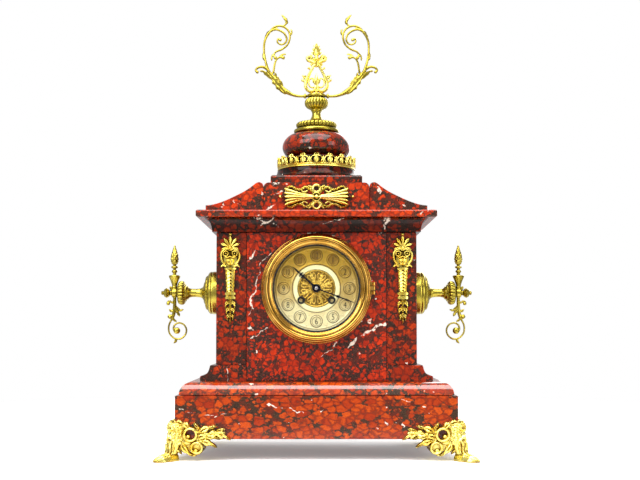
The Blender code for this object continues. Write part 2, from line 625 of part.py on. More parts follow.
def build_movement(brass, steel):
    """Two round plates hold the barrels and wheels. The wheels are blanks just inside their
    pitch circles, so that meshing pairs keep a gap at every angle."""
    barrels = [(side * WINDING_X, DIAL_Z + WINDING_Z, 2.6) for side in SIDES.values()]
    pivots = [(THIRD, 1.2), (ESCAPE, 1.2), (ANCHOR, 1.7), (STRIKE, 1.2), (HAMMER, 1.7)]
    holes = [*barrels, (0, DIAL_Z, 1.6)] + [(x, DIAL_Z + z, r) for (x, z), r in pivots]
    front = add("front_plate", rod(0, DIAL_Z, PLATE_R, *FRONT_PLATE, 32), brass)
    pillars = [(0, -38.0), (35.0, 14.0), (-27.0, 26.0), (17.0, 33.0)]
    places = [(x, DIAL_Z + z, 2.5) for x, z in pillars]
    combine(front, "UNION", [rods(places, -70.0 + GAP, BACK_PLATE[0] - GAP)])
    post = (MOTION[0], DIAL_Z + MOTION[1], 1.3)
    combine(front, "DIFFERENCE", [rods([*holes, post], -68, -58)])
    back = add("back_plate", rod(0, DIAL_Z, PLATE_R, *BACK_PLATE, 32), brass)
    combine(back, "DIFFERENCE", [rods(holes, -30, -18)])
    cock = box((-5, BACK_PLATE[1] - 2, DIAL_Z + 39.4), (5, -10.0, DIAL_Z + 43.0))
    combine(back, "UNION", [cock])

    drums = {
        "going_barrel": [(2.1, -69), (2.1, -54), (21.6, -54), (21.6, -52.5), (17, -52.5),
                         (17, -36), (2.1, -36), (2.1, -20.3)],
        "strike_barrel": [(2.1, -69), (2.1, -50), (17, -50), (17, -34), (21.6, -34),
                          (21.6, -32.5), (2.1, -32.5), (2.1, -20.3)],
    }
    for (name, steps), side in zip(drums.items(), (1, -1)):
        drum = arbor(name, (side * WINDING_X, WINDING_Z), steps, brass, 20)
        x, z = side * WINDING_X, DIAL_Z + WINDING_Z
        combine(drum, "UNION", [box((x - 1.5, -75.5, z - 1.5), (x + 1.5, -66.0, z + 1.5))])
    wheels = {
        "centre_wheel": ((0, 0), [(1.2, -62.6), (1.2, -58.3), (14.5, -58.3), (14.5, -57.1),
                                  (1.2, -57.1), (1.2, -55), (2.9, -55), (2.9, -51.5),
                                  (1.2, -51.5), (1.2, -20.8)]),
        "third_wheel": (THIRD, [(0.8, -62.4), (0.8, -58.8), (1.1, -58.8), (1.1, -52.0),
                                (10.9, -52.0), (10.9, -50.8), (0.8, -50.8), (0.8, -20.8)]),
        "escape_wheel": (ESCAPE, [(0.75, -62.4), (0.75, -46.0), (8.5, -46.0), (8.5, -44.8),
                                  (0.75, -44.8), (0.75, -20.8)]),
        "strike_wheel": (STRIKE, [(0.8, -62.4), (0.8, -35), (2.9, -35), (2.9, -31.5), (0.8, -31.5),
                                  (0.8, -30.0), (9.0, -30.0), (9.0, -28.8), (0.8, -28.8),
                                  (0.8, -20.8)]),
        "minute_wheel": (MOTION, [(1.85, -67.3), (1.85, -64.7), (7.3, -64.7), (7.3, -63.5),
                                  (1.0, -63.5), (1.0, -59.0)]),
    }
    for name, (place, steps) in wheels.items():
        arbor(name, place, steps, brass)
    pipe = [(1.5, -66.0), (1.5, -76.0), (2.3, -76.0), (2.3, -67.2), (7.8, -67.2), (7.8, -66.0)]
    add("hour_wheel", lathe(pipe, "Y", (0, DIAL_Z), 16), brass, (0, 0, DIAL_Z))

    anchor = arbor("anchor", ANCHOR, [(1.2, -62.4), (1.2, -17.5)], steel, 8)
    half = [(2.5, 39.5), (9.2, 33.8), (7.7, 32.0), (5.4, 34.4)]
    outline = [(x, DIAL_Z + z) for x, z in half + [(0, 35.3)] + mirrored(half)[::-1]]
    crutch = box((-1.4, -19.5, DIAL_Z + 14.0), (1.4, -17.8, DIAL_Z + 37.0))
    combine(anchor, "UNION", [prism(outline, -46.2, -44.6), crutch])

    y, top = PENDULUM
    rod_bar = box((-1.0, y - 1.0, DIAL_Z - 70.0), (1.0, y + 1.0, DIAL_Z + top))
    pendulum = add("pendulum", rod_bar, brass, (0, y, DIAL_Z + top))
    bob = [(0, y - 5), (8, y - 4.3), (13.5, y - 1), (14.5, y), (13.5, y + 1), (8, y + 4.3), (0, y + 5)]
    nut_z = DIAL_Z - 85.5
    nut = lathe([(0, nut_z), (3, nut_z), (3, nut_z + 4), (0, nut_z + 4)], "Z", (0, y), 8)
    combine(pendulum, "UNION", [lathe(bob, "Y", (0, DIAL_Z - 68.0), 20), nut])

    arm = branch([(HAMMER[0], DIAL_Z + 10.0, 1.6), (-39.5, DIAL_Z - 4.0, 1.6)], -18.5, 1.0, steps=1)
    hammer = arbor("hammer", HAMMER, [(1.2, -62.4), (1.2, -17.2)], steel, 8)
    combine(hammer, "UNION", [arm, rod(-39.5, DIAL_Z + BELL_Z, 3.5, -19.5, -2.0)])

    z = DIAL_Z + BELL_Z
    dome = [
        (33.5, -6), (33, 1), (29.5, 8.5), (20, 14.5), (3, 17.5), (3, 16), (19.5, 13), (28, 7),
        (31.5, 0.5), (32, -6),
    ]
    bell = add("bell", lathe(dome, "Y", (0, z), 16), brass)
    foot_x, foot_z = 24.0, DIAL_Z - 33.0
    stand = [
        rod(0, z, 4.2, 14.0, 24.0),
        branch([(0, z, 2.5), (foot_x, foot_z, 2.5)], 22.0, 1.5, steps=1),
        box((foot_x - 2.5, BACK_PLATE[1] + GAP, foot_z - 2.5), (foot_x + 2.5, 23.4, foot_z + 2.5)),
    ]
    combine(bell, "UNION", stand, "MANIFOLD")


def main():
    for existing in list(bpy.data.objects):
        bpy.data.objects.remove(existing)
    marble = material("red_marble", (0.30, 0.045, 0.03), 0.12)
    gilt = material("gilt_bronze", (0.80, 0.58, 0.20), 0.28, 1.0)
    brass = material("brass", (0.72, 0.55, 0.26), 0.32, 1.0)
    steel = material("blued_steel", (0.03, 0.035, 0.06), 0.30, 1.0)
    cream = material("cream_enamel", (0.86, 0.80, 0.66), 0.25)
    glass = material("glass", (0.95, 0.97, 0.96), 0.02, 0.0, 0.15)
    build_base(marble)
    build_walls(marble)
    build_cornice(marble)
    build_pediment(marble)
    build_gallery(gilt)
    build_vase(gilt, steel)
    build_arms(gilt)
    build_finial(gilt)
    build_front_mounts(gilt)
    build_sconces(gilt)
    build_feet(gilt)
    build_dial(gilt, cream, glass)
    build_hands(steel)
    build_back(gilt)
    build_movement(brass, steel)


main()
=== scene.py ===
"""The looks of the mantel clock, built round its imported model.

Shapes are worked out in millimetres and become metres in piece(). +Z is up, the dial faces -Y,
left is -X. A new piece stands for the model's node that its name starts with, and a few small
ones, such as the numerals and the collets, are extra.
"""

import math

import bmesh
import bpy
import numpy as np
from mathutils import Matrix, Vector


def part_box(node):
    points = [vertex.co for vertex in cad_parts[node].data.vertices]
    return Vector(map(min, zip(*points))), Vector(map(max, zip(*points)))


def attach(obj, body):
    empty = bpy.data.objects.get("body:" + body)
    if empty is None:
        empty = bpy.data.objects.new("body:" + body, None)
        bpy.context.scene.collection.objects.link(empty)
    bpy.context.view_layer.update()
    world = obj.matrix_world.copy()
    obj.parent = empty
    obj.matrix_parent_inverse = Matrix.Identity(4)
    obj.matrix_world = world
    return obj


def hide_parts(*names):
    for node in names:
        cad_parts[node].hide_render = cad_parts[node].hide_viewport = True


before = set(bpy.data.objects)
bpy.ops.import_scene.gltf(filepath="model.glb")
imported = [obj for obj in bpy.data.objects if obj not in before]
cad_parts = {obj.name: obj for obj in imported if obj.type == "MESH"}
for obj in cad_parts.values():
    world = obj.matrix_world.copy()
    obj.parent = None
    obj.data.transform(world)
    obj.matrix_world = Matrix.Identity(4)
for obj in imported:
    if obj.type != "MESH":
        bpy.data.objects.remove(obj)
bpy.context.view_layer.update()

MM = 0.001
TAU = math.tau
SIDES = {"left": -1, "right": 1}
GAP = 0.3


def span(node):
    """(lowest corner, highest corner) of a node in millimetres."""
    low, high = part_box(node)
    return np.array(low) / MM, np.array(high) / MM


# Driving sizes, read from the model
PLINTH_LOW, PLINTH_HIGH = span("plinth")
PLINTH_X, PLINTH_Y = PLINTH_HIGH[0], PLINTH_HIGH[1]
PANEL_FRONT = span("front_panel")[0][1]
PILASTER_FRONT = span("side_wall_left")[0][1]
CREST_FRONT = span("pediment_block")[0][1]
RING_LOW, RING_HIGH = span("dial_plate")
DIAL_Z = (RING_LOW[2] + RING_HIGH[2]) / 2
DIAL_R = (RING_HIGH[0] - RING_LOW[0]) / 2
DIAL_FRONT = RING_LOW[1]
SCONCE_Z = (span("sconce_knob_left")[0][2] + span("sconce_knob_left")[1][2]) / 2
WINDING_X, WINDING_Z = 19.7, -15.3
MINUTE_DEG, HOUR_DEG = 111.0, 312.0
CARTOUCHE_AT = 42.5


# ---------------------------------------------------------------- materials


def rgb(red, green, blue):
    return (red, green, blue, 1.0)


class Paint:
    """A Principled material and short calls for the nodes that feed it."""

    def __init__(self, name, **sockets):
        self.material = bpy.data.materials.new(name)
        self.material.use_nodes = True
        self.tree = self.material.node_tree
        self.shader = self.tree.nodes["Principled BSDF"]
        for socket, value in sockets.items():
            self.feed(socket.replace("_", " "), value)
        self.object_place = self.node("TexCoord").outputs["Object"]

    def feed(self, socket, value):
        self.put(self.shader.inputs[socket], value)

    def put(self, socket, value):
        if isinstance(value, bpy.types.NodeSocket):
            self.tree.links.new(value, socket)
        else:
            socket.default_value = value

    def node(self, kind, inputs=None, **settings):
        made = self.tree.nodes.new("ShaderNode" + kind)
        for key, value in settings.items():
            setattr(made, key, value)
        for key, value in (inputs or {}).items():
            self.put(made.inputs[key], value)
        return made

    def turned(self, offset, angles, flat=1.0):
        inputs = {"Vector": self.object_place, "Location": offset, "Rotation": angles,
                  "Scale": (1.0, 1.0, flat)}
        return self.node("Mapping", inputs).outputs["Vector"]

    def noise(self, place, scale, detail=2.0, distortion=0.0):
        inputs = {"Vector": place, "Scale": scale, "Detail": detail, "Distortion": distortion}
        return self.node("TexNoise", inputs)

    def cells(self, place, scale, feature="F1"):
        return self.node("TexVoronoi", {"Vector": place, "Scale": scale}, feature=feature)

    def smooth(self, value, low, high, start=0.0, end=1.0):
        """0 to 1 (or start to end) while the value goes from low to high."""
        inputs = {"Value": value, "From Min": low, "From Max": high, "To Min": start, "To Max": end}
        made = self.node("MapRange", inputs, interpolation_type="SMOOTHSTEP")
        return made.outputs["Result"]

    def maths(self, operation, first, second=0.0):
        return self.node("Math", {0: first, 1: second}, operation=operation).outputs[0]

    def hypot(self, first, second):
        squares = [self.maths("MULTIPLY", value, value) for value in (first, second)]
        return self.maths("SQRT", self.maths("ADD", *squares))

    def mix(self, factor, first, second, blend="MIX"):
        made = self.node("Mix", {0: factor, 6: first, 7: second}, data_type="RGBA")
        made.blend_type = blend
        return made.outputs[2]

    def part(self, colour, channel):
        return self.node("SeparateColor", {0: colour}).outputs[channel]

    def push(self, place, amount, by):
        """Moves the place by up to the amount, as a colour says."""
        away = self.node("VectorMath", {0: by, 1: (0.5, 0.5, 0.5)}, operation="SUBTRACT")
        scaled = self.node("VectorMath", {0: away.outputs[0]}, operation="SCALE")
        scaled.inputs["Scale"].default_value = amount
        made = self.node("VectorMath", {0: place, 1: scaled.outputs[0]}, operation="ADD")
        return made.outputs[0]

    def ramp(self, value, stops):
        made = self.node("ValToRGB", {"Fac": value})
        bar = made.color_ramp
        while len(bar.elements) < len(stops):
            bar.elements.new(1.0)
        for element, (at, colour) in zip(bar.elements, stops):
            element.position = at
            element.color = colour
        return made.outputs["Color"]

    def bump(self, height, distance, strength=1.0):
        inputs = {"Height": height, "Distance": distance, "Strength": strength}
        self.feed("Normal", self.node("Bump", inputs).outputs["Normal"])


def streak(paint, place, ends, width):
    """1 within a vein from one (X, Z) point to another, in millimetres, on a face across Y."""
    (x0, z0), (x1, z1) = ends
    start = (x0 * MM, 0, z0 * MM)
    along = np.array((x1 - x0, 0, z1 - z0)) * MM
    length = float(np.linalg.norm(along))
    unit = tuple(float(value) for value in along / length)
    flat = paint.node("VectorMath", {0: place, 1: (1, 0, 1)}, operation="MULTIPLY").outputs[0]
    away = paint.node("VectorMath", {0: flat, 1: start}, operation="SUBTRACT").outputs[0]
    run = paint.node("VectorMath", {0: away, 1: unit}, operation="DOT_PRODUCT").outputs["Value"]
    run = paint.maths("MINIMUM", paint.maths("MAXIMUM", run, 0.0), length)
    back = paint.node("VectorMath", {0: unit}, operation="SCALE")
    paint.put(back.inputs["Scale"], run)
    gap = paint.node("VectorMath", {0: away, 1: back.outputs[0]}, operation="SUBTRACT").outputs[0]
    distance = paint.node("VectorMath", {0: gap}, operation="LENGTH").outputs["Value"]
    swell = paint.noise(place, 95, 2).outputs["Fac"]
    half = paint.smooth(swell, 0.36, 0.64, 0.0, 0.42 * width * MM)
    return paint.smooth(paint.maths("SUBTRACT", half, distance), -0.0001, 0.0004)


def marble(name, seed, veins=0.5, warm=0.5, size=1.0, tone_and_shade=1.0, streaks=(), gloss=0.34,
           open_by=0.0, flat=1.0):
    """Red griotte: crowded round red blobs in a dark matrix, with white calcite."""
    paint = Paint(name, IOR=1.5, Specular_IOR_Level=gloss)

    # Every colour is scaled by the slab's tone; for the cove, drum and cushion that tone is low as
    # painted shade.
    def shade(red, green, blue):
        return rgb(tone_and_shade * red, tone_and_shade * green, tone_and_shade * blue)

    spin = np.random.default_rng(seed)
    offset = tuple(float(x) for x in spin.uniform(-3, 3, 3))
    angles = tuple(float(x) for x in spin.uniform(0, TAU, 3))
    place = paint.turned(offset, angles, flat)
    wavy = paint.push(place, 0.0105, paint.noise(place, 135, 5).outputs["Color"])
    large = paint.noise(place, 24, 2).outputs["Fac"]
    grain = paint.noise(wavy, 800, 3).outputs["Fac"]

    blob_scale = 104 / size
    blobs = paint.cells(wavy, blob_scale)
    chance = paint.part(blobs.outputs["Color"], "Red")
    border = paint.cells(wavy, blob_scale, "DISTANCE_TO_EDGE").outputs["Distance"]
    reach = paint.maths("ADD", paint.smooth(chance, 0, 1, 0.42, 0.62),
                        paint.smooth(large, 0.30, 0.62, -0.30 - open_by, 0.16 - open_by))
    big = paint.maths("MULTIPLY", paint.smooth(border, -0.02, 0.055, 0.15, 1.0),
                      paint.smooth(paint.maths("SUBTRACT", reach, blobs.outputs["Distance"]),
                                   -0.05, 0.08))
    beads = paint.cells(wavy, 235 / size)
    bead_chance = paint.part(beads.outputs["Color"], "Red")
    bead_reach = paint.smooth(bead_chance, 0.25, 1, 0.10, 0.56)
    small = paint.smooth(paint.maths("SUBTRACT", bead_reach, beads.outputs["Distance"]), -0.04, 0.08)
    inside = paint.maths("MAXIMUM", big, paint.maths("MULTIPLY", small, 0.9))

    hue = paint.mix(big, paint.part(beads.outputs["Color"], "Green"),
                    paint.part(blobs.outputs["Color"], "Green"))
    reds = paint.ramp(hue, [
        (0.0, shade(0.37, 0.018 + 0.010 * warm, 0.003)),
        (0.35, shade(0.50, 0.025 + 0.026 * warm, 0.003)),
        (1.0, shade(0.65, 0.035 + 0.050 * warm, 0.004)),
    ])
    rim = paint.maths("MULTIPLY", paint.smooth(border, 0.20, 0.02, 0.0, 0.75), big)
    reds = paint.mix(rim, reds, shade(0.15, 0.010, 0.003))
    cloud = paint.noise(wavy, 310, 3).outputs["Fac"]
    reds = paint.mix(paint.smooth(cloud, 0.44, 0.66, 0.0, 0.42), reds, shade(0.22, 0.014, 0.003))
    reds = paint.mix(paint.smooth(grain, 0.46, 0.72, 0.0, 0.38), reds, shade(0.18, 0.014, 0.004))

    matrix = paint.ramp(grain, [
        (0.30, shade(0.018, 0.007, 0.005)), (0.52, shade(0.050, 0.018 + 0.006 * warm, 0.012)),
        (0.70, shade(0.100, 0.040 + 0.018 * warm, 0.028)), (0.85, shade(0.16, 0.085, 0.055)),
    ])
    stain = paint.noise(place, 60, 3).outputs["Fac"]
    matrix = paint.mix(paint.smooth(stain, 0.46, 0.62, 0.0, 0.58), matrix, shade(0.16, 0.013, 0.004))
    colour = paint.mix(inside, matrix, reds)

    spots = paint.cells(paint.push(place, 0.007, paint.noise(place, 260).outputs["Color"]), 84)
    spot_reach = paint.smooth(paint.part(spots.outputs["Color"], "Blue"), 0.80, 1.0, 0.0, 0.20)
    spot = paint.smooth(paint.maths("SUBTRACT", spot_reach, spots.outputs["Distance"]), 0.0, 0.04)
    bent = paint.push(place, 0.02, paint.noise(place, 45, 3).outputs["Color"])
    line = paint.maths("ABSOLUTE",
                       paint.maths("SUBTRACT", paint.noise(bent, 9.0, 1).outputs["Fac"], 0.5))
    where = paint.noise(place, 26, 1).outputs["Fac"]
    width = paint.smooth(where, 0.64 - 0.14 * veins, 0.78, 0.0, 0.010)
    broken = paint.smooth(paint.noise(place, 330, 2).outputs["Fac"], 0.44, 0.56)
    vein = paint.maths("MULTIPLY", broken,
                       paint.smooth(paint.maths("SUBTRACT", width, line), 0.0, 0.003))
    white = paint.maths("MAXIMUM", spot, vein)
    if streaks:
        shaken = paint.noise(paint.object_place, 75, 4).outputs["Color"]
        bent_place = paint.push(paint.object_place, 0.014, shaken)
        gaps = paint.smooth(paint.noise(paint.object_place, 260, 3).outputs["Fac"], 0.38, 0.50)
        for ends, thick in streaks:
            found = streak(paint, bent_place, ends, thick)
            white = paint.maths("MAXIMUM", white, paint.maths("MULTIPLY", found, gaps))
    chalk = paint.mix(grain, rgb(0.66, 0.48, 0.36), rgb(0.92, 0.86, 0.76))
    paint.feed("Base Color", paint.mix(white, colour, chalk))
    paint.feed("Roughness", paint.smooth(grain, 0.2, 0.8, 0.06, 0.13))
    paint.bump(paint.noise(place, 260, 2).outputs["Fac"], 0.00012, 0.35)
    return paint.material


def gilding(name, bright, deep, shade, rough=(0.16, 0.30), tarnish_shade_amount=0.9, reach=0.0035, depth=()):
    """Cast metal: it is rubbed bright on the high parts and keeps a brown tarnish in the low ones,
    deepened there by painted shade.
    """
    paint = Paint(name, Metallic=1.0)
    place = paint.object_place
    cloud = paint.noise(place, 55, 3).outputs["Fac"]
    fine = paint.noise(place, 900, 2).outputs["Fac"]
    colour = paint.mix(paint.smooth(cloud, 0.35, 0.68), rgb(*bright), rgb(*deep))
    # Darker in the hollows: the casting's own tarnish, and also painted shade where recesses fall into
    # shade.
    hollow = paint.node("AmbientOcclusion", {"Distance": reach}, samples=6).outputs["AO"]
    tarnish_and_shade = paint.maths("MULTIPLY", paint.smooth(hollow, 0.92, 0.38), tarnish_shade_amount)
    # With depth, the sunk ground of a relief, near the face it sits on, is painted darker too: tarnish
    # and painted shade.
    if depth:
        level = paint.node("SeparateXYZ", {0: place}).outputs["Y"]
        sunk_tarnish_and_shade = paint.smooth(level, depth[1] * MM, depth[0] * MM, 0.0, 0.85)
        tarnish_and_shade = paint.maths("MAXIMUM", tarnish_and_shade, sunk_tarnish_and_shade)
    tarnish_and_shade = paint.maths("MULTIPLY", tarnish_and_shade, paint.smooth(cloud, 0.15, 0.6, 0.7, 1.0))
    paint.feed("Base Color", paint.mix(tarnish_and_shade, colour, rgb(*shade)))
    low, high = rough
    mottled = paint.smooth(fine, 0.30, 0.72, low, high)
    paint.feed("Roughness", paint.maths("ADD", mottled, paint.maths("MULTIPLY", tarnish_and_shade, 0.25)))
    paint.bump(fine, 0.00008, 0.5)
    return paint.material


def dial_gilding(name):
    """Antique gold with dark wax lines round its twelve cartouches and along its rings."""
    paint = Paint(name)
    split = paint.node("SeparateXYZ", {0: paint.object_place})
    x = split.outputs["X"]
    z = paint.maths("SUBTRACT", split.outputs["Z"], DIAL_Z * MM)
    # Less metallic towards the bottom, so that the lower dial reads brighter: painted reflection.
    paint.feed("Metallic", paint.smooth(z, -0.050, 0.015, 0.25, 0.85))
    radius = paint.hypot(x, z)
    sector = paint.maths("SUBTRACT", paint.maths("ARCTAN2", x, z), TAU / 24)
    sector = paint.maths("PINGPONG", sector, TAU / 24)
    sector = paint.maths("SUBTRACT", TAU / 24, sector)
    beside = paint.maths("MULTIPLY", radius, paint.maths("SINE", sector))
    ahead = paint.maths("SUBTRACT", paint.maths("MULTIPLY", radius, paint.maths("COSINE", sector)),
                        CARTOUCHE_AT * MM)
    away = paint.hypot(beside, ahead)
    lines = 0.0
    for value, middle, half in ((away, 7.7, 0.75), (away, 5.8, 0.45), (radius, 31.2, 0.8),
                                (radius, 52.9, 0.25)):
        gap = paint.maths("ABSOLUTE", paint.maths("SUBTRACT", value, middle * MM))
        lines = paint.maths("MAXIMUM", lines, paint.smooth(gap, half * MM, 0.35 * half * MM))
    cloud = paint.noise(paint.object_place, 48, 3).outputs["Fac"]
    fine = paint.noise(paint.object_place, 900, 2).outputs["Fac"]
    # Painted light: pale cream towards the bottom as painted reflection, orange-brown towards the top as
    # painted shade.
    upper = paint.smooth(z, -0.050, 0.040)
    field = paint.mix(upper, rgb(1.0, 0.95, 0.56), rgb(0.72, 0.44, 0.045))
    # Cloudy brown mottling of the metal, stronger towards the top: the rise towards the top is painted
    # shade.
    mottle_and_shade = paint.maths("MULTIPLY", paint.smooth(cloud, 0.34, 0.66, 0.0, 0.8),
                       paint.smooth(z, -0.050, 0.010, 0.2, 1.0))
    mottled = paint.mix(mottle_and_shade, field, rgb(0.60, 0.38, 0.05))
    # The cartouches' fields are brown, the more so higher up: the brown is the dial's own, its rise
    # towards the top is painted shade.
    cartouche_brown_and_shade = paint.maths("MULTIPLY", paint.smooth(away, 0.0070, 0.0060),
                          paint.smooth(z, 0.012, 0.040, 0.1, 0.62))
    colour = paint.mix(cartouche_brown_and_shade, mottled, rgb(0.20, 0.095, 0.022))
    # Darker in the hollows, as tarnish and painted shade, and along the real dark wax lines.
    hollow = paint.node("AmbientOcclusion", {"Distance": 0.0014}, samples=6).outputs["AO"]
    tarnish_and_shade = paint.smooth(hollow, 0.90, 0.35, 0.0, 0.9)
    tarnish_and_shade = paint.maths("MAXIMUM", tarnish_and_shade, paint.maths("MULTIPLY", lines, 0.85))
    paint.feed("Base Color", paint.mix(tarnish_and_shade, colour, rgb(0.060, 0.028, 0.008)))
    grains = paint.smooth(fine, 0.30, 0.72, 0.30, 0.48)
    paint.feed("Roughness", paint.maths("ADD", grains, paint.maths("MULTIPLY", tarnish_and_shade, 0.2)))
    paint.bump(fine, 0.0001, 0.6)
    return paint.material


def turned_metal(name, bright, deep, rough):
    """Lathe-turned or brushed metal with faint lines and cloudy lacquer."""
    paint = Paint(name, Metallic=1.0)
    place = paint.object_place
    cloud = paint.noise(place, 38, 3).outputs["Fac"]
    stretched = paint.node("Mapping", {"Vector": place, "Scale": (1, 14, 1)}).outputs["Vector"]
    lines = paint.noise(stretched, 420, 2).outputs["Fac"]
    paint.feed("Base Color", paint.mix(paint.smooth(cloud, 0.3, 0.7), rgb(*bright), rgb(*deep)))
    paint.feed("Roughness", paint.smooth(lines, 0.25, 0.75, rough - 0.06, rough + 0.08))
    paint.bump(lines, 0.00005, 0.4)
    return paint.material


def enamel(name):
    paint = Paint(name, IOR=1.5)
    cloud = paint.noise(paint.object_place, 90, 3).outputs["Fac"]
    craze = paint.cells(paint.object_place, 420, "DISTANCE_TO_EDGE").outputs["Distance"]
    tint = paint.mix(paint.smooth(cloud, 0.3, 0.7), rgb(0.98, 0.93, 0.52), rgb(0.92, 0.84, 0.40))
    hair = paint.smooth(craze, 0.02, 0.0, 0.0, 0.25)
    paint.feed("Base Color", paint.mix(hair, tint, rgb(0.40, 0.28, 0.12)))
    paint.feed("Roughness", paint.smooth(cloud, 0.2, 0.8, 0.12, 0.22))
    paint.bump(cloud, 0.0001, 0.3)
    return paint.material


def dark_steel(name, tint, rough, metallic=1.0):
    paint = Paint(name, Metallic=metallic)
    grain = paint.noise(paint.object_place, 600, 3).outputs["Fac"]
    darker = tuple(0.45 * value for value in tint)
    paint.feed("Base Color", paint.mix(paint.smooth(grain, 0.3, 0.7), rgb(*tint), rgb(*darker)))
    paint.feed("Roughness", paint.smooth(grain, 0.25, 0.75, rough - 0.06, rough + 0.10))
    paint.bump(grain, 0.00004, 0.4)
    return paint.material


def pane_glass(name):
    paint = Paint(name, IOR=1.5, Alpha=0.22, Transmission_Weight=1.0)
    smear = paint.noise(paint.object_place, 30, 3).outputs["Fac"]
    paint.feed("Roughness", paint.smooth(smear, 0.3, 0.7, 0.0, 0.03))
    paint.feed("Base Color", paint.mix(smear, rgb(0.95, 0.98, 0.96), rgb(1.0, 1.0, 0.99)))
    return paint.material


GILT = gilding("gilt_cast", (1.0, 0.86, 0.22), (0.92, 0.66, 0.09), (0.17, 0.070, 0.004),
               tarnish_shade_amount=1.0, reach=0.0045)
FOOT_GILT = gilding("gilt_feet", (0.90, 0.79, 0.23), (0.82, 0.61, 0.10), (0.27, 0.120, 0.009),
                    tarnish_shade_amount=0.9, reach=0.0040)
PANEL_GILT = gilding("gilt_mounts", (1.0, 0.85, 0.20), (0.88, 0.63, 0.08), (0.14, 0.060, 0.004),
                     tarnish_shade_amount=1.0, reach=0.004, depth=(PILASTER_FRONT - 0.4, PILASTER_FRONT - 3.0))
CREST_GILT = gilding("gilt_crest", (1.0, 0.88, 0.26), (0.86, 0.68, 0.12), (0.15, 0.072, 0.008),
                     tarnish_shade_amount=1.0, reach=0.004, depth=(CREST_FRONT - 0.4, CREST_FRONT - 3.4))
ANTIQUE = gilding("gilt_antique", (0.55, 0.44, 0.070), (0.34, 0.26, 0.028), (0.040, 0.022, 0.004),
                  rough=(0.20, 0.32), tarnish_shade_amount=1.0)
BURNISHED = gilding("gilt_turned", (0.70, 0.40, 0.082), (0.49, 0.255, 0.038), (0.10, 0.036, 0.004),
                    rough=(0.08, 0.18), tarnish_shade_amount=1.0, reach=0.0026)
ROSETTE_GOLD = gilding("rosette_gold", (0.80, 0.55, 0.10), (0.56, 0.34, 0.045),
                       (0.090, 0.040, 0.006), rough=(0.22, 0.36), tarnish_shade_amount=1.0, reach=0.0016,
                       depth=(-72.6, -73.3))
DIAL_GOLD = dial_gilding("dial_gold")
BRASS = turned_metal("movement_brass", (0.83, 0.62, 0.28), (0.72, 0.51, 0.20), 0.26)
BELL = turned_metal("bell_metal", (0.70, 0.56, 0.34), (0.56, 0.42, 0.24), 0.20)
STEEL = dark_steel("polished_steel", (0.55, 0.55, 0.57), 0.26)
BLUED = dark_steel("blued_steel", (0.020, 0.022, 0.045), 0.28)
# Black of the numerals; the same material is painted shade in the sight ring, the regulator hole and the
# winding holes.
BLACK_AND_SHADE = dark_steel("blacked_metal_and_painted_shade", (0.012, 0.010, 0.008), 0.48, 0.2)
CREAM = enamel("cream_enamel")
GLASS = pane_glass("bezel_glass_clear")


# ---------------------------------------------------------------- shape tools


def through(points, steps=6):
    """Points along a smooth Catmull-Rom curve through the given ones."""
    p = np.array(points, float)
    ends = np.vstack([p[:1], p, p[-1:]])
    path = []
    for a, b, c, d in zip(ends, ends[1:], ends[2:], ends[3:]):
        for t in np.arange(steps) / steps:
            path.append(b + 0.5 * t * (c - a + t * (2*a - 5*b + 4*c - d + t * (3*(b - c) + d - a))))
    return np.vstack([path, p[-1:]])


def rounded(points, radius, steps=3, closed=False):
    """The outline with each of its corners rounded off."""
    p = [np.array(point, float) for point in points]
    count = len(p)
    made = [] if closed else [p[0]]
    for i in range(0 if closed else 1, count if closed else count - 1):
        before, corner, after = p[i - 1], p[i], p[(i + 1) % count]
        back, on = before - corner, after - corner
        cut = min(radius, 0.45 * np.linalg.norm(back), 0.45 * np.linalg.norm(on))
        start = corner + back / max(np.linalg.norm(back), 1e-9) * cut
        end = corner + on / max(np.linalg.norm(on), 1e-9) * cut
        for t in np.linspace(0, 1, steps + 1):
            made.append((1 - t)**2 * start + 2*t*(1 - t) * corner + t*t * end)
    if not closed:
        made.append(p[-1])
    return np.array(made)


def eased(profile, radius):
    """A solid's profile with each corner rounded off, but for the two on its axis."""
    return np.vstack([profile[:1], rounded(profile[1:-1], radius), profile[-1:]])


def join(*shapes):
    points, faces, start = [], [], 0
    for p, f in shapes:
        points.append(p)
        faces += [tuple(i + start for i in face) for face in f]
        start += len(p)
    return np.concatenate(points), faces


def flip(shape, axis=0):
    points, faces = shape
    points = points.copy()
    points[:, axis] *= -1
    return points, [face[::-1] for face in faces]


def skin(rings, around=True, cap=True, loop=False):
    """Quads between rings of equally many points, with flat end caps."""
    rings = np.asarray(rings, float)
    rows, columns = rings.shape[:2]
    faces = []
    for i in range(rows if loop else rows - 1):
        low, high = i * columns, ((i + 1) % rows) * columns
        for j in range(columns if around else columns - 1):
            k = (j + 1) % columns
            faces.append((low + j, low + k, high + k, high + j))
    if cap and not loop:
        faces.append(tuple(reversed(range(columns))))
        faces.append(tuple(range((rows - 1) * columns, rows * columns)))
    return rings.reshape(-1, 3), faces


def onto(axis, a, b, along):
    order = {"X": (along, a, b), "Y": (a, along, b), "Z": (a, b, along)}[axis]
    return np.stack(np.broadcast_arrays(*order), -1)


def lathe(profile, axis="Z", centre=(0, 0), segments=96, ripple=None):
    """Spins (radius, place along the axis) points. ripple(turn, radius, along) adds to radius.
    A profile that starts and ends on the axis is solid, and any other is a ring."""
    profile = np.array(profile, float)
    solid = profile[0, 0] <= 1e-6
    if solid:
        profile = profile[1:-1]
    turn = np.arange(segments)[None, :] * TAU / segments
    radius, along = profile[:, :1], profile[:, 1:2]
    grown = radius + (ripple(turn, radius, along) if ripple else 0)
    a = centre[0] + grown * np.cos(turn)
    b = centre[1] + grown * np.sin(turn)
    return skin(onto(axis, a, b, along + 0 * turn), loop=not solid)


def dial_lathe(profile, segments, ripple=None):
    """Spins (radius, Y) points about the dial's axis."""
    return lathe(profile, "Y", (0, DIAL_Z), segments, ripple)


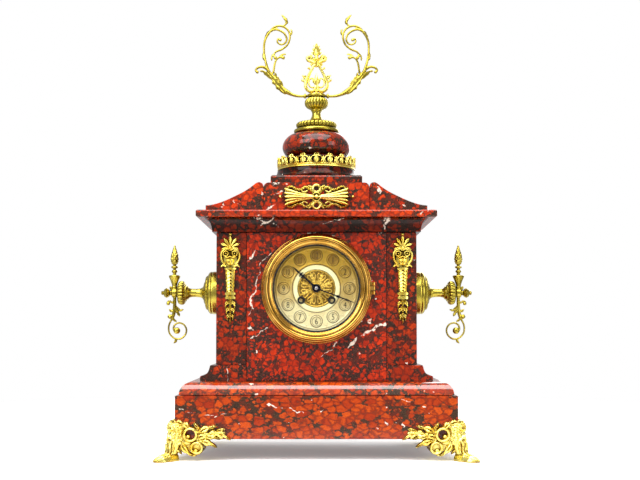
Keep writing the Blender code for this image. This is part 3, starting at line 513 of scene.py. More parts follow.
def box(low, high):
    (x0, y0, z0), (x1, y1, z1) = low, high
    rings = [[(x0, y0, z), (x1, y0, z), (x1, y1, z), (x0, y1, z)] for z in (z0, z1)]
    return skin(rings)


def drawn(outline, low, high, bevel=0.0):
    """An outline of (X, Z) points drawn out along Y with bevelled rims."""
    outline = np.array(outline, float)
    before, after = np.roll(outline, 1, 0), np.roll(outline, -1, 0)
    direction = after - before
    normal = np.stack([direction[:, 1], -direction[:, 0]], 1)
    normal /= np.maximum(np.linalg.norm(normal, axis=1, keepdims=True), 1e-9)
    area = 0.5 * np.sum(before[:, 0] * outline[:, 1] - outline[:, 0] * before[:, 1])
    inner = outline - normal * bevel * np.sign(area)
    levels = ((low, inner), (low + bevel, outline), (high - bevel, outline), (high, inner))
    rings = [np.stack([shape[:, 0], np.full(len(shape), level), shape[:, 1]], 1)
             for level, shape in levels]
    return skin(rings if bevel else [rings[0], rings[-1]])


def frames(path):
    """Unit tangent, side and normal along a path of points; the side starts nearest to Y."""
    tangents = np.gradient(path, axis=0)
    tangents /= np.maximum(np.linalg.norm(tangents, axis=1, keepdims=True), 1e-9)
    hint = np.array([0.0, 1.0, 0.0])
    if abs(tangents[0] @ hint) > 0.9:
        hint = np.array([1.0, 0.0, 0.0])
    sides = []
    for tangent in tangents:
        hint = hint - (hint @ tangent) * tangent
        hint /= np.linalg.norm(hint)
        sides.append(hint)
    sides = np.array(sides)
    return tangents, sides, np.cross(tangents, sides)


def tube(points, sides=12, steps=5):
    """A round bar through (x, y, z, radius) points, with round ends."""
    path = through(points, steps)
    place, radius = path[:, :3], path[:, 3]
    tangent, side, normal = frames(place)
    dome = np.radians([15, 40, 65])
    first = [(place[0] - tangent[0] * radius[0] * math.cos(a), radius[0] * math.sin(a), 0) for a in dome]
    last = [(place[-1] + tangent[-1] * radius[-1] * math.cos(a), radius[-1] * math.sin(a), -1)
            for a in dome[::-1]]
    body = [(place[i], radius[i], i) for i in range(len(place))]
    turn = np.arange(sides)[:, None] * TAU / sides
    return skin([middle + r * (np.cos(turn) * side[i] + np.sin(turn) * normal[i])
                 for middle, r, i in [*first, *body, *last]])


def ball(centre, radius, stretch=(1, 1, 1), segments=16):
    turns = np.linspace(0, math.pi, segments // 2 + 1)
    profile = [(0, -1)] + [(math.sin(t), -math.cos(t)) for t in turns[1:-1]] + [(0, 1)]
    points, faces = lathe(np.array(profile) * radius, segments=segments)
    return points * np.array(stretch) + np.array(centre, float), faces


def leaf(points, facing=(0, -1, 0), lobes=4, thick=1.2, cup=0.25, cut=0.35):
    """An acanthus leaf along (x, y, z, half width) points: lobed, veined and curled at its rims."""
    path = through(points, 8)
    place, width = path[:, :3], path[:, 3]
    tangent = np.gradient(place, axis=0)
    tangent /= np.maximum(np.linalg.norm(tangent, axis=1, keepdims=True), 1e-9)
    facing = np.array(facing, float)
    side = np.cross(tangent, facing)
    side /= np.maximum(np.linalg.norm(side, axis=1, keepdims=True), 1e-9)
    normal = np.cross(side, tangent)
    s = np.linspace(-1, 1, 9)
    t = np.linspace(0, 1, len(place))
    wave = 1 - cut * (0.5 + 0.5 * np.cos(TAU * lobes * t)) * np.sin(math.pi * np.clip(t * 1.02, 0, 1))
    rings = []
    for i in range(len(place)):
        w = width[i] * wave[i]
        lean = 0.45 * width[i] * s**2
        rise = width[i] * (cup * s**2 + 0.12 * np.abs(s) - 0.10 * np.cos(3 * math.pi * s))
        middle = place[i] + np.outer(s * w, side[i]) + np.outer(lean, tangent[i])
        edge = 0.5 * thick * np.sqrt(np.clip(1.05 - s**2, 0.05, 1))
        front = middle + np.outer(rise + edge, normal[i])
        back = middle + np.outer(rise - edge, normal[i])
        rings.append(np.vstack([front, back[::-1]]))
    return skin(rings)


def cast(shape, voxel, smoothing=4):
    """Melts overlapping solids into the one skin of a casting."""
    points, faces = shape
    mesh = bpy.data.meshes.new("casting")
    mesh.from_pydata(points.tolist(), [], faces)
    made = bpy.data.objects.new("casting", mesh)
    bpy.context.scene.collection.objects.link(made)
    remesh = made.modifiers.new("melt", "REMESH")
    remesh.mode = "VOXEL"
    remesh.voxel_size = voxel
    ease = made.modifiers.new("ease", "SMOOTH")
    ease.factor = 0.5
    ease.iterations = smoothing
    graph = bpy.context.evaluated_depsgraph_get()
    melted = made.evaluated_get(graph).to_mesh()
    count = len(melted.vertices)
    flat = np.empty(count * 3, np.float32)
    melted.vertices.foreach_get("co", flat)
    corners = np.empty(len(melted.loops), np.int32)
    melted.loops.foreach_get("vertex_index", corners)
    quads = corners.reshape(-1, 4)
    result = flat.reshape(-1, 3).astype(float), [tuple(q) for q in quads.tolist()]
    bpy.data.objects.remove(made)
    bpy.data.meshes.remove(mesh)
    return result


def piece(name, shape, finish, body="case", replaces=(), sharp=38):
    """Makes the piece from a shape in millimetres, on its body and in its material slot."""
    points, faces = shape
    bm = bmesh.new()
    mesh = bpy.data.meshes.new(name)
    mesh.from_pydata((points * MM).tolist(), [], faces)
    bm.from_mesh(mesh)
    bmesh.ops.recalc_face_normals(bm, faces=bm.faces)
    bm.to_mesh(mesh)
    bm.free()
    mesh.shade_smooth()
    mesh.set_sharp_from_angle(angle=math.radians(sharp))
    mesh.materials.append(finish)
    made = bpy.data.objects.new(name, mesh)
    bpy.context.scene.collection.objects.link(made)
    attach(made, body)
    if replaces:
        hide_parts(*replaces)
    return made


# ---------------------------------------------------------------- relief work


def domed(edge):
    """The height of a round bar or ball, from 0 at its edge to 1 at its middle."""
    return np.sqrt(np.clip(edge, 0, 1))


def nearest(x, z, points, steps=5):
    """Share of the way along, signed side distance, distance and radius, for the nearest point
    of a smooth line through (x, z, radius) points."""
    path = through(points, steps)
    starts, ends = path[:-1], path[1:]
    lengths = np.linalg.norm(ends[:, :2] - starts[:, :2], axis=1)
    along = np.concatenate([[0], np.cumsum(lengths)])
    best = np.full(x.shape, 1e9)
    share, side, radius = np.zeros(x.shape), np.zeros(x.shape), np.ones(x.shape)
    for start, end, length, gone in zip(starts, ends, lengths, along):
        if length < 1e-6:
            continue
        dx, dz = (end[:2] - start[:2]) / length
        u, v = x - start[0], z - start[1]
        t = np.clip(u * dx + v * dz, 0, length)
        distance = np.hypot(u - t * dx, v - t * dz)
        r = start[2] + (end[2] - start[2]) * t / length
        closer = distance - r < best
        best = np.where(closer, distance - r, best)
        share = np.where(closer, (gone + t) / along[-1], share)
        side = np.where(closer, np.sign(u * dz - v * dx) * distance, side)
        radius = np.where(closer, r, radius)
    return share, side, np.abs(side), np.maximum(radius, 1e-3)


class Relief:
    """A flat canvas on which stamps raise a modelled surface. `edge` is above 0 inside it."""

    def __init__(self, x0, x1, z0, z1, step, wrap=False):
        count = max(2, round((x1 - x0) / step))
        across = x0 + (x1 - x0) * np.arange(count if wrap else count + 1) / count
        up = np.linspace(z0, z1, max(2, round((z1 - z0) / step)) + 1)
        self.x, self.z = np.meshgrid(across, up)
        self.step, self.wrap = step, wrap
        self.edge = np.full(self.x.shape, -9.0)
        self.height = np.zeros(self.x.shape)

    def raise_to(self, edge, height):
        self.edge = np.maximum(self.edge, edge)
        self.height = np.maximum(self.height, np.where(edge > 0, height, 0))

    def bulge(self, edge, height):
        self.raise_to(edge, height * domed(edge))

    def pierce(self, hole):
        """Cuts the canvas away where `hole` is above 0."""
        self.edge = np.minimum(self.edge, -hole)
        self.height = np.where(self.edge > 0, self.height, 0)

    def stroke(self, points, height=None, twist=0.0, pitch=3.0, steps=5, x=None):
        """A round bar; with twist, a rope or ribbon."""
        x = self.x if x is None else x
        share, side, distance, radius = nearest(x, self.z, points, steps)
        wave = 1.0
        if twist:
            length = np.sum(np.linalg.norm(np.diff(np.array(points)[:, :2], axis=0), axis=1))
            wave = 1 + twist * np.sin(TAU * (share * length / pitch + 0.45 * side / radius))
        edge = 1 - (distance / (radius * (1 + 0.3 * (wave - 1))))**2
        tall = (height or 1.0) * (1.0 if height else radius)
        self.raise_to(edge, tall * domed(edge) * wave)

    def leaf(self, points, lobes, height, cut=0.34, x=None):
        """An acanthus leaf with forward lobes, side veins and a sunk midrib."""
        x = self.x if x is None else x
        share, side, distance, radius = nearest(x, self.z, points)
        u = distance / radius
        phase = TAU * (lobes * share - 0.40 * np.clip(u, 0, 1.5))
        rim = 1 - cut * (0.5 + 0.5 * np.cos(phase)) * np.clip(np.sin(math.pi * share) * 2, 0, 1)
        edge = 1 - (u / rim)**2
        body = domed(edge) * (0.80 - 0.20 * np.cos(phase))
        rib = 1 - 0.38 * np.exp(-(u / 0.16)**2)
        self.raise_to(edge, height * body * rib)

    def ball(self, x, z, radius, height):
        distance = np.hypot(self.x - x, self.z - z)
        self.bulge(1 - (distance / radius)**2, height)

    def ring(self, x, z, middle, radius, height):
        distance = np.abs(np.hypot(self.x - x, self.z - z) - middle)
        self.bulge(1 - (distance / radius)**2, height)

    def shape(self, place, base=0.6):
        """A closed solid: the modelled front, a flat back, and a rim of the base's thickness."""
        edge, step = self.edge, self.step
        if self.wrap:
            gx = (np.roll(edge, -1, 1) - np.roll(edge, 1, 1)) / 2
        else:
            gx = np.gradient(edge, axis=1)
        gz = np.gradient(edge, axis=0)
        slope = np.maximum(gx**2 + gz**2, 1e-6)
        outside = edge <= 0
        shift = np.where(outside, np.clip(-edge, 0, None) / slope, 0)
        size = shift * np.sqrt(slope)
        shift = np.where(size > 0.95, shift * 0.95 / np.maximum(size, 1e-9), shift)
        x = self.x + shift * gx * step
        z = self.z + shift * gz * step
        right = np.roll(edge, -1, 1) if self.wrap else edge[:, 1:]
        left = edge if self.wrap else edge[:, :-1]
        used = (np.maximum(left[:-1], right[:-1]) > 0) | (np.maximum(left[1:], right[1:]) > 0)
        rows, columns = edge.shape
        i, j = np.nonzero(used)
        k = (j + 1) % columns
        corners = np.stack([i * columns + j, i * columns + k, (i + 1) * columns + k,
                            (i + 1) * columns + j], 1)
        total = rows * columns
        tall = np.where(outside, 0, self.height) + base
        front = place(x, z, tall).reshape(-1, 3)
        back = place(x, z, 0 * tall).reshape(-1, 3)
        edges = np.concatenate([corners[:, [a, (a + 1) % 4]] for a in range(4)])
        key = edges[:, 0].astype(np.int64) * total + edges[:, 1]
        opposite = edges[:, 1].astype(np.int64) * total + edges[:, 0]
        rim = edges[~np.isin(key, opposite)]
        quads = np.concatenate([
            corners, corners[:, ::-1] + total,
            np.stack([rim[:, 1], rim[:, 0], rim[:, 0] + total, rim[:, 1] + total], 1),
        ])
        keep = np.unique(quads)
        index = np.full(2 * total, -1)
        index[keep] = np.arange(len(keep))
        points = np.concatenate([front, back])[keep]
        return points, [tuple(q) for q in index[quads].tolist()]


def mirrored_x(relief):
    """The canvas's own x made positive, so that stamps appear on both sides of the middle."""
    return np.abs(relief.x)


# ---------------------------------------------------------------- marble case


def bevelled(node, width=0.7):
    """The model's own slab with its coplanar triangles merged and its edges eased."""
    bm = bmesh.new()
    bm.from_mesh(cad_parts[node].data)
    bmesh.ops.remove_doubles(bm, verts=bm.verts, dist=1e-5)
    bmesh.ops.dissolve_limit(bm, angle_limit=math.radians(0.5), verts=bm.verts, edges=bm.edges)
    sharp = [edge for edge in bm.edges if edge.calc_face_angle(0) > math.radians(30)]
    bmesh.ops.bevel(
        bm, geom=sharp, offset=width * MM, segments=2, profile=0.5, affect="EDGES",
        clamp_overlap=True,
    )
    points = np.array([vert.co for vert in bm.verts]) / MM
    bm.verts.index_update()
    faces = [tuple(vert.index for vert in face.verts) for face in bm.faces]
    bm.free()
    return points, faces


def stack(levels):
    """Rectangles (X low, X high, half depth, height) skinned together."""
    return skin([[(a, -y, z), (b, -y, z), (b, y, z), (a, y, z)] for a, b, y, z in levels])


# White veins on the front faces: ((X, Z) to (X, Z), thickness), in millimetres
STREAKS = {
    "front_panel": (
        (((42, 141), (62, 158)), 5.0), (((62, 158), (90, 172)), 5.5),
        (((-77, 291), (-58, 301)), 2.6), (((-9, 287), (11, 294)), 3.4),
        (((30, 291), (52, 299)), 4.0), (((56, 297), (74, 292)), 3.4),
        (((-88, 180), (-80, 214)), 2.3), (((-80, 214), (-72, 248)), 2.0),
        (((-72, 248), (-52, 272)), 1.9), (((-86, 150), (-62, 166)), 2.0),
        (((8, 128), (26, 146)), 1.5), (((-84, 169), (-83, 163)), 4.0),
        (((-62, 188), (-58, 192)), 3.6), (((69, 232), (72, 228)), 3.4),
        (((66, 252), (67, 256)), 3.0), (((62, 184), (61, 178)), 3.2),
    ),
    "plinth": ((((-62, 69), (-43, 64)), 3.0), (((-34, 66), (-16, 59)), 2.0),
               (((-170, 65), (-165, 63)), 3.6), (((-133, 75), (-130, 73)), 3.0),
               (((-128, 53), (-125, 54)), 4.0), (((-102, 52), (-99, 53)), 3.4),
               (((86, 48), (89, 47)), 3.8), (((105, 44), (109, 42)), 3.8),
               (((4, 62), (9, 63)), 2.2)),
    "base_block_left": ((((-113, 116), (-116, 98)), 3.4),),
    "pediment_scroll_left": ((((-119, 336), (-122, 322)), 3.4), (((-105, 330), (-101, 327)), 7.0),
                             (((-73, 346), (-71, 341)), 7.0)),
    "pediment_scroll_right": ((((82, 345), (81, 341)), 7.0), (((117, 329), (114, 325)), 6.0)),
    "pediment_block": ((((-50, 328), (-68, 318)), 4.4), (((-38, 345), (-52, 338)), 2.4),
                       (((30, 322), (44, 317)), 2.6)),
    "cornice_cove": ((((-52, 309), (-76, 293)), 3.2), (((8, 300), (34, 306)), 2.0)),
    "cornice_slab": ((((126, 309), (143, 314)), 3.0),),
}

# How deep each slab's colour is, where the blocks it was sawn from differ. The cove, drum and cushion
# are set much darker as painted shade, for the shade they sit in.
TONES_AND_SHADE = {
    "cornice_cove": 0.33, "cushion": 0.56, "drum": 0.13, "side_wall_left": 0.62,
    "side_wall_right": 0.62, "top_slab": 0.72, "front_panel": 0.92, "base_block_left": 0.75,
    "base_block_right": 0.75, "cornice_slab": 1.0, "plinth": 0.80, "plinth_ledge": 1.05,
}

# How strongly a slab's polish reflects, and how far apart its red blobs lie, where not usual
GLOSS = {"plinth_ledge": 0.95, "drum": 0.14, "cornice_cove": 0.2}
OPEN = {"front_panel": 0.09, "side_wall_left": 0.08, "side_wall_right": 0.08,
        "cornice_slab": -0.16, "plinth": -0.08, "plinth_ledge": -0.08}

# How much wider than tall a slab's blobs are, where not usual
FLAT = {"plinth": 1.45, "plinth_ledge": 1.3, "cornice_slab": 1.4}


def slab(node, shape, seed, veins=0.5, warm=0.4, size=1.0):
    finish = marble(f"griotte_{node}", seed, veins, warm, size, TONES_AND_SHADE.get(node, 1.0),
                    STREAKS.get(node, ()), GLOSS.get(node, 0.34), OPEN.get(node, 0.0),
                    FLAT.get(node, 1.0))
    made = piece(f"{node}_marble", shape, finish, "case", [node], sharp=32)
    even = made.modifiers.new("even_shading", "WEIGHTED_NORMAL")
    even.keep_sharp = True
    return made


def moulded(node, profile):
    """A slab whose front, ends and back carry the same moulding, from (half width, height)."""
    low, high = span(node)
    inset = high[0] - high[1]
    return stack([(-half, half, half - inset, z) for half, z in profile])


def build_marble():
    for seed, node in enumerate(("plinth", "front_panel", "side_wall_left", "side_wall_right",
                                 "back_panel", "cornice_slab", "pediment_block", "top_slab")):
        warm, size = {"plinth": (1.0, 1.15), "front_panel": (0.1, 0.8)}.get(node, (0.4, 0.9))
        slab(node, bevelled(node), 11 + seed, 0.4, warm, size)
    build_ledge()
    build_base_blocks()
    build_cove()
    build_scrolls()
    build_drum_and_cushion()


def build_ledge():
    low, high = span("plinth_ledge")
    radius = 15.0
    turns = np.radians(np.linspace(0, 90, 14))
    profile = [(high[0] - 0.6, low[2]), (high[0], low[2] + 0.6)]
    profile += [(high[0] - radius * (1 - math.cos(t)), high[2] - radius * (1 - math.sin(t)))
                for t in turns]
    slab("plinth_ledge", moulded("plinth_ledge", profile), 31, 0.3, 1.0)


def build_base_blocks():
    curve = [(0, 0), (0, 0.26), (0.04, 0.31), (0.28, 0.345), (0.50, 0.40), (0.66, 0.48),
             (0.77, 0.58), (0.85, 0.70), (0.90, 0.82), (0.95, 0.95), (1.0, 1.0)]
    for seed, (name, side) in enumerate(SIDES.items()):
        node = f"base_block_{name}"
        low, high = span(node)
        outer, head = max(abs(low[0]), abs(high[0])), 136.6
        inner = min(abs(low[0]), abs(high[0]))
        levels = []
        for inwards, up in curve:
            ends = sorted((side * inner, side * (outer + (head - outer) * inwards)))
            levels.append((*ends, high[1], low[2] + (high[2] - low[2]) * up))
        slab(node, stack(levels), 41 + seed, 0.9)


def build_cove():
    low, high = span("cornice_cove")
    foot, head = 134.8, high[0]
    turns = np.radians(np.linspace(0, 90, 13))
    profile = [(head - (head - foot) * math.cos(t), low[2] + (high[2] - low[2]) * math.sin(t))
               for t in turns]
    slab("cornice_cove", moulded("cornice_cove", profile), 51, 0.9)


def build_scrolls():
    for seed, (name, side) in enumerate(SIDES.items()):
        node = f"pediment_scroll_{name}"
        low, high = span(node)
        inner, outer = min(abs(low[0]), abs(high[0])), max(abs(low[0]), abs(high[0]))
        curve = [(outer, 324.6), (137.0, 325.4), (130.0, 327.0), (117.6, 331.4), (98.7, 340.4),
                 (87.5, 347.0), (79.7, 353.0), (76.6, 354.7), (74.2, high[2]), (71.6, 354.2),
                 (69.8, 352.2), (inner, 349.0)]
        outline = [(outer, low[2] + 0.01), *through(curve, 4), (inner, low[2])]
        shape = drawn(outline, low[1], high[1], 0.7)
        shape = flip(shape) if side < 0 else shape
        slab(node, shape, 61 + seed, 0.9)


def build_drum_and_cushion():
    low, high = span("drum")
    inner, foot, top = 3.4, high[0], high[2]
    drum = [(inner, top), (38.0, top), (49.0, top - 3.2), (50.0, top - 4.2), (50.0, 378.4),
            (53.2, 378.4), (53.5, 376.2), (54.3, 373.6), (55.6, 371.0), (57.2, 369.6),
            (foot, 368.6), (foot, low[2] + 0.8), (foot - 0.8, low[2]), (inner, low[2])]
    slab("drum", lathe(rounded(drum, 0.8, closed=True)), 71, 0.3)
    low, high = span("cushion")
    cushion = [(inner, high[2]), (26.0, high[2]), (31.5, 429.4), (37.5, 426.6), (42.8, 421.4),
               (45.6, 416.0), (high[0], 411.0), (45.6, 406.5), (43.6, 402.6), (40.8, 399.4),
               (38.2, low[2]), (inner, low[2])]
    slab("cushion", lathe([cushion[0], *through(cushion[1:-1], 4), cushion[-1]]), 72, 0.2)


# ---------------------------------------------------------------- top ornament


def lobes(count, amount, low, high, sharp=1.0):
    """Gadroons between two places along the axis: rounded lobes with narrow grooves."""
    def ripple(turn, radius, along):
        window = np.clip(np.minimum(along - low, high - along) / (0.18 * (high - low)), 0, 1)
        wave = np.abs(np.sin(count * turn / 2))**(0.5 * sharp)
        return amount * window * (wave - 1)
    return ripple


def build_gallery():
    """A pierced ring: two crescents round a bud under each of 18 points, over a rolled band."""
    low, high = span("gallery")
    points, radius = 18, 50.6
    pitch = TAU * radius / points
    canvas = Relief(0, TAU * radius, low[2], high[2], 0.34, wrap=True)
    x = np.abs((canvas.x + pitch / 2) % pitch - pitch / 2)
    z = canvas.z - low[2]
    tall = high[2] - low[2]
    crest = np.interp(x / pitch, [0, 0.10, 0.24, 0.36, 0.44, 0.5],
                      [tall - 0.2, 0.84 * tall, 0.68 * tall, 0.64 * tall, 0.70 * tall, 0.78 * tall])
    canvas.raise_to(np.minimum((crest - z) / 2.0, (z + 0.1) / 0.3), 0.9 + 0 * z)
    canvas.bulge(1 - ((z - 1.3) / 1.5)**2, 2.0)
    canvas.bulge(1 - ((z - 3.8) / 0.9)**2, 1.5)
    foot = low[2]
    canvas.stroke([(1.0, foot + 4.8, 0.9), (5.2, foot + 5.6, 1.1), (7.4, foot + 9.2, 1.1),
                   (5.4, foot + 12.8, 1.0), (1.6, foot + 14.2, 0.9)], 2.3, x=x)
    canvas.stroke([(0, foot + 5.4, 1.5), (0, foot + 9.0, 2.6), (0, foot + 12.2, 1.6),
                   (0, foot + tall - 0.6, 0.7)], 2.7, x=x)
    canvas.stroke([(1.2, foot + 13.2, 1.0), (2.6, foot + 15.6, 1.0), (1.2, foot + 17.2, 0.7)], 2.2, x=x)
    canvas.stroke([(pitch / 2, foot + 4.6, 1.2), (pitch / 2, foot + 9.5, 1.5),
                   (pitch / 2, foot + 0.76 * tall, 0.8)], 2.1, x=x)
    reach = np.hypot(x, (z - 9.3) * 0.92)
    slit = np.minimum(1 - ((reach - 4.9) / 1.25)**2, 1 - ((z - 9.3) / 3.9)**2)
    canvas.pierce(1.6 * slit)

    def place(u, v, h):
        turn = u / radius - math.pi / 2
        out = 50.45 + h * 0.95
        return np.stack([out * np.cos(turn), out * np.sin(turn), v], -1)

    piece("gallery_pierced", canvas.shape(place, 0.9), GILT, "case", ["gallery"])


def build_vase():
    inner = 3.4
    low, high = span("vase_foot")
    foot = [(inner, high[2]), (22.0, high[2]), (25.5, 445.4), (27.6, 443.6), (28.0, 441.4),
            (26.8, 438.8), (24.8, 437.6), (25.0, 436.8), (28.2, 436.4), (30.4, 435.4),
            (31.0, 433.4), (30.2, 431.6), (28.6, low[2]), (inner, low[2])]
    border = lobes(30, 1.5, 437.4, 446.6)
    profile = rounded(foot, 0.9, 3, closed=True)
    piece("vase_foot_turned", lathe(profile, segments=240, ripple=border), ANTIQUE, "case",
          ["vase_foot"])
    low, high = span("vase")
    top = high[2]
    vase = [(0, 482.4), (9.6, 482.4), (10.8, 484.2), (11.6, top), (12.4, 484.4), (12.5, 482.2),
            (11.6, 480.9), (9.9, 480.2), (10.2, 479.4), (13.8, 478.6), (15.9, 475.6),
            (16.4, 472.4), (15.5, 469.0), (13.2, 466.2), (9.6, 464.3), (7.6, 463.4),
            (7.9, 462.4), (6.6, 461.2), (5.8, 458.4), (6.3, 454.6), (8.4, 450.2), (11.2, 447.6),
            (12.0, low[2]), (0, low[2])]
    gadroons = lobes(20, 1.6, 465.0, 479.2)
    shape = lathe(eased(vase, 0.7), segments=240, ripple=gadroons)
    screw = [(0, -2.0), (1.3, -2.0), (1.5, -1.2), (1.1, -0.4), (0, -0.2)]
    turned = lathe(screw, "Y", (0, 461.0), 16)
    turned[0][:, 1] -= 5.6
    piece("vase_gadrooned", join(shape, turned), ANTIQUE, "case", ["vase"])


ARM_STEM = [
    (12.4, 482.6, 1.8), (20.0, 482.3, 1.8), (27.7, 483.0, 2.0), (34.0, 485.0, 2.3),
    (39.0, 487.6, 3.1), (43.0, 490.2, 3.3), (48.0, 495.4, 2.5), (54.0, 502.0, 2.6),
    (60.0, 509.4, 2.6), (65.0, 516.0, 2.4), (67.6, 523.0, 2.0), (70.2, 533.0, 1.7),
    (71.9, 546.3, 1.6), (70.6, 559.9, 1.7), (64.2, 571.2, 1.8), (57.4, 574.6, 1.5),
    (51.0, 573.6, 1.5), (44.2, 569.4, 1.5), (40.8, 562.0, 1.5), (43.2, 556.0, 1.4),
    (48.7, 554.0, 1.3), (53.6, 557.4, 1.3), (52.6, 561.8, 1.3), (49.6, 560.6, 1.9),
]
ARM_BRANCHES = [
    [(64.0, 572.4, 1.2), (58.7, 577.6, 1.4), (52.0, 579.8, 1.5), (45.6, 578.8, 1.5),
     (40.0, 575.0, 1.5), (36.8, 568.9, 1.5), (36.6, 562.0, 1.5), (40.0, 553.5, 1.5),
     (47.6, 547.2, 1.5), (55.0, 544.2, 1.4), (58.2, 540.0, 1.4), (56.4, 535.6, 2.1)],
    [(62.4, 511.0, 1.4), (58.8, 516.4, 1.5), (57.6, 525.2, 1.5), (55.2, 532.4, 1.4),
     (50.8, 536.2, 1.4), (45.6, 535.8, 2.2)],
    [(62.0, 512.6, 1.5), (67.4, 519.4, 1.9), (73.6, 523.0, 1.9), (79.6, 522.2, 1.7),
     (83.2, 518.6, 1.5), (81.2, 515.6, 1.8)],
    [(46.6, 578.6, 1.4), (42.0, 582.6, 1.3), (41.8, 586.4, 1.5), (44.4, 590.4, 1.4)],
]
ARM_LEAVES = [
    ([(41.0, 486.0, 2.4), (49.0, 492.6, 4.4), (56.0, 501.0, 4.6), (61.4, 509.4, 3.4),
      (66.4, 514.4, 1.0)], (-0.6, -0.5, 0.5), 5),
    ([(46.4, 496.2, 2.2), (51.0, 503.0, 3.8), (55.4, 508.6, 3.0), (56.4, 515.0, 0.8)],
     (-0.7, -0.4, 0.4), 3),
    ([(58.4, 506.4, 2.0), (66.0, 510.6, 3.0), (72.0, 516.2, 2.2), (77.6, 517.4, 0.7)],
     (0.4, -0.7, -0.4), 3),
    ([(69.8, 531.0, 1.4), (73.0, 536.6, 2.3), (72.6, 543.0, 0.7)], (0.5, -0.8, 0), 2),
    ([(70.4, 561.0, 1.6), (67.4, 568.4, 3.4), (61.0, 574.0, 3.0), (53.6, 576.8, 0.8)],
     (0.3, -0.8, 0.4), 4),
    ([(42.0, 582.0, 1.6), (40.6, 586.0, 2.5), (43.4, 590.6, 2.4), (48.0, 595.2, 0.6)],
     (-0.4, -0.9, 0.1), 3),
    ([(57.6, 541.6, 1.2), (61.0, 537.6, 2.2), (61.6, 531.6, 0.7)], (0.5, -0.8, 0), 2),
    ([(50.6, 536.6, 1.4), (46.6, 540.0, 2.3), (41.6, 540.6, 0.7)], (0, -0.8, 0.5), 2),
    ([(36.6, 566.4, 1.2), (33.8, 570.6, 2.0), (35.2, 575.4, 0.6)], (-0.5, -0.8, 0), 2),
]


def flat_path(points, y=0.0):
    return [(x, y, z, r) for x, z, r in points]


def build_arms():
    shapes = [tube(flat_path(ARM_STEM), 10, 4)]
    shapes += [tube(flat_path(points), 10, 4) for points in ARM_BRANCHES]
    for points, facing, count in ARM_LEAVES:
        shapes.append(leaf(flat_path(points), facing, count, thick=1.5, cup=-0.2, cut=0.4))
    for points, _, count in ARM_LEAVES[:3]:
        shapes.append(leaf(flat_path(points, 0.8), (0, 1, 0.1), count, thick=1.5, cup=-0.2, cut=0.4))
    shapes.append(ball((41.6, 0, 488.6), 3.6, (1, 1, 0.8)))
    shapes.append(lathe([(0, -1.4), (3.1, -1.4), (3.4, 0), (3.1, 1.4), (0, 1.4)], "X", (0, 482.6), 24))
    shapes[-1][0][:, 0] += 15.5
    shapes += [ball((49.6, 0, 560.4), 2.2), ball((56.4, 0, 535.6), 2.4), ball((45.4, 0, 535.7), 2.5),
               ball((81.0, 0, 515.8), 2.2)]
    melted = cast(join(*shapes), 0.42, 8)
    for name, side in SIDES.items():
        shape = melted if side > 0 else flip(melted)
        piece(f"arm_{name}_chased", shape, ANTIQUE, "case", [f"arm_{name}"])


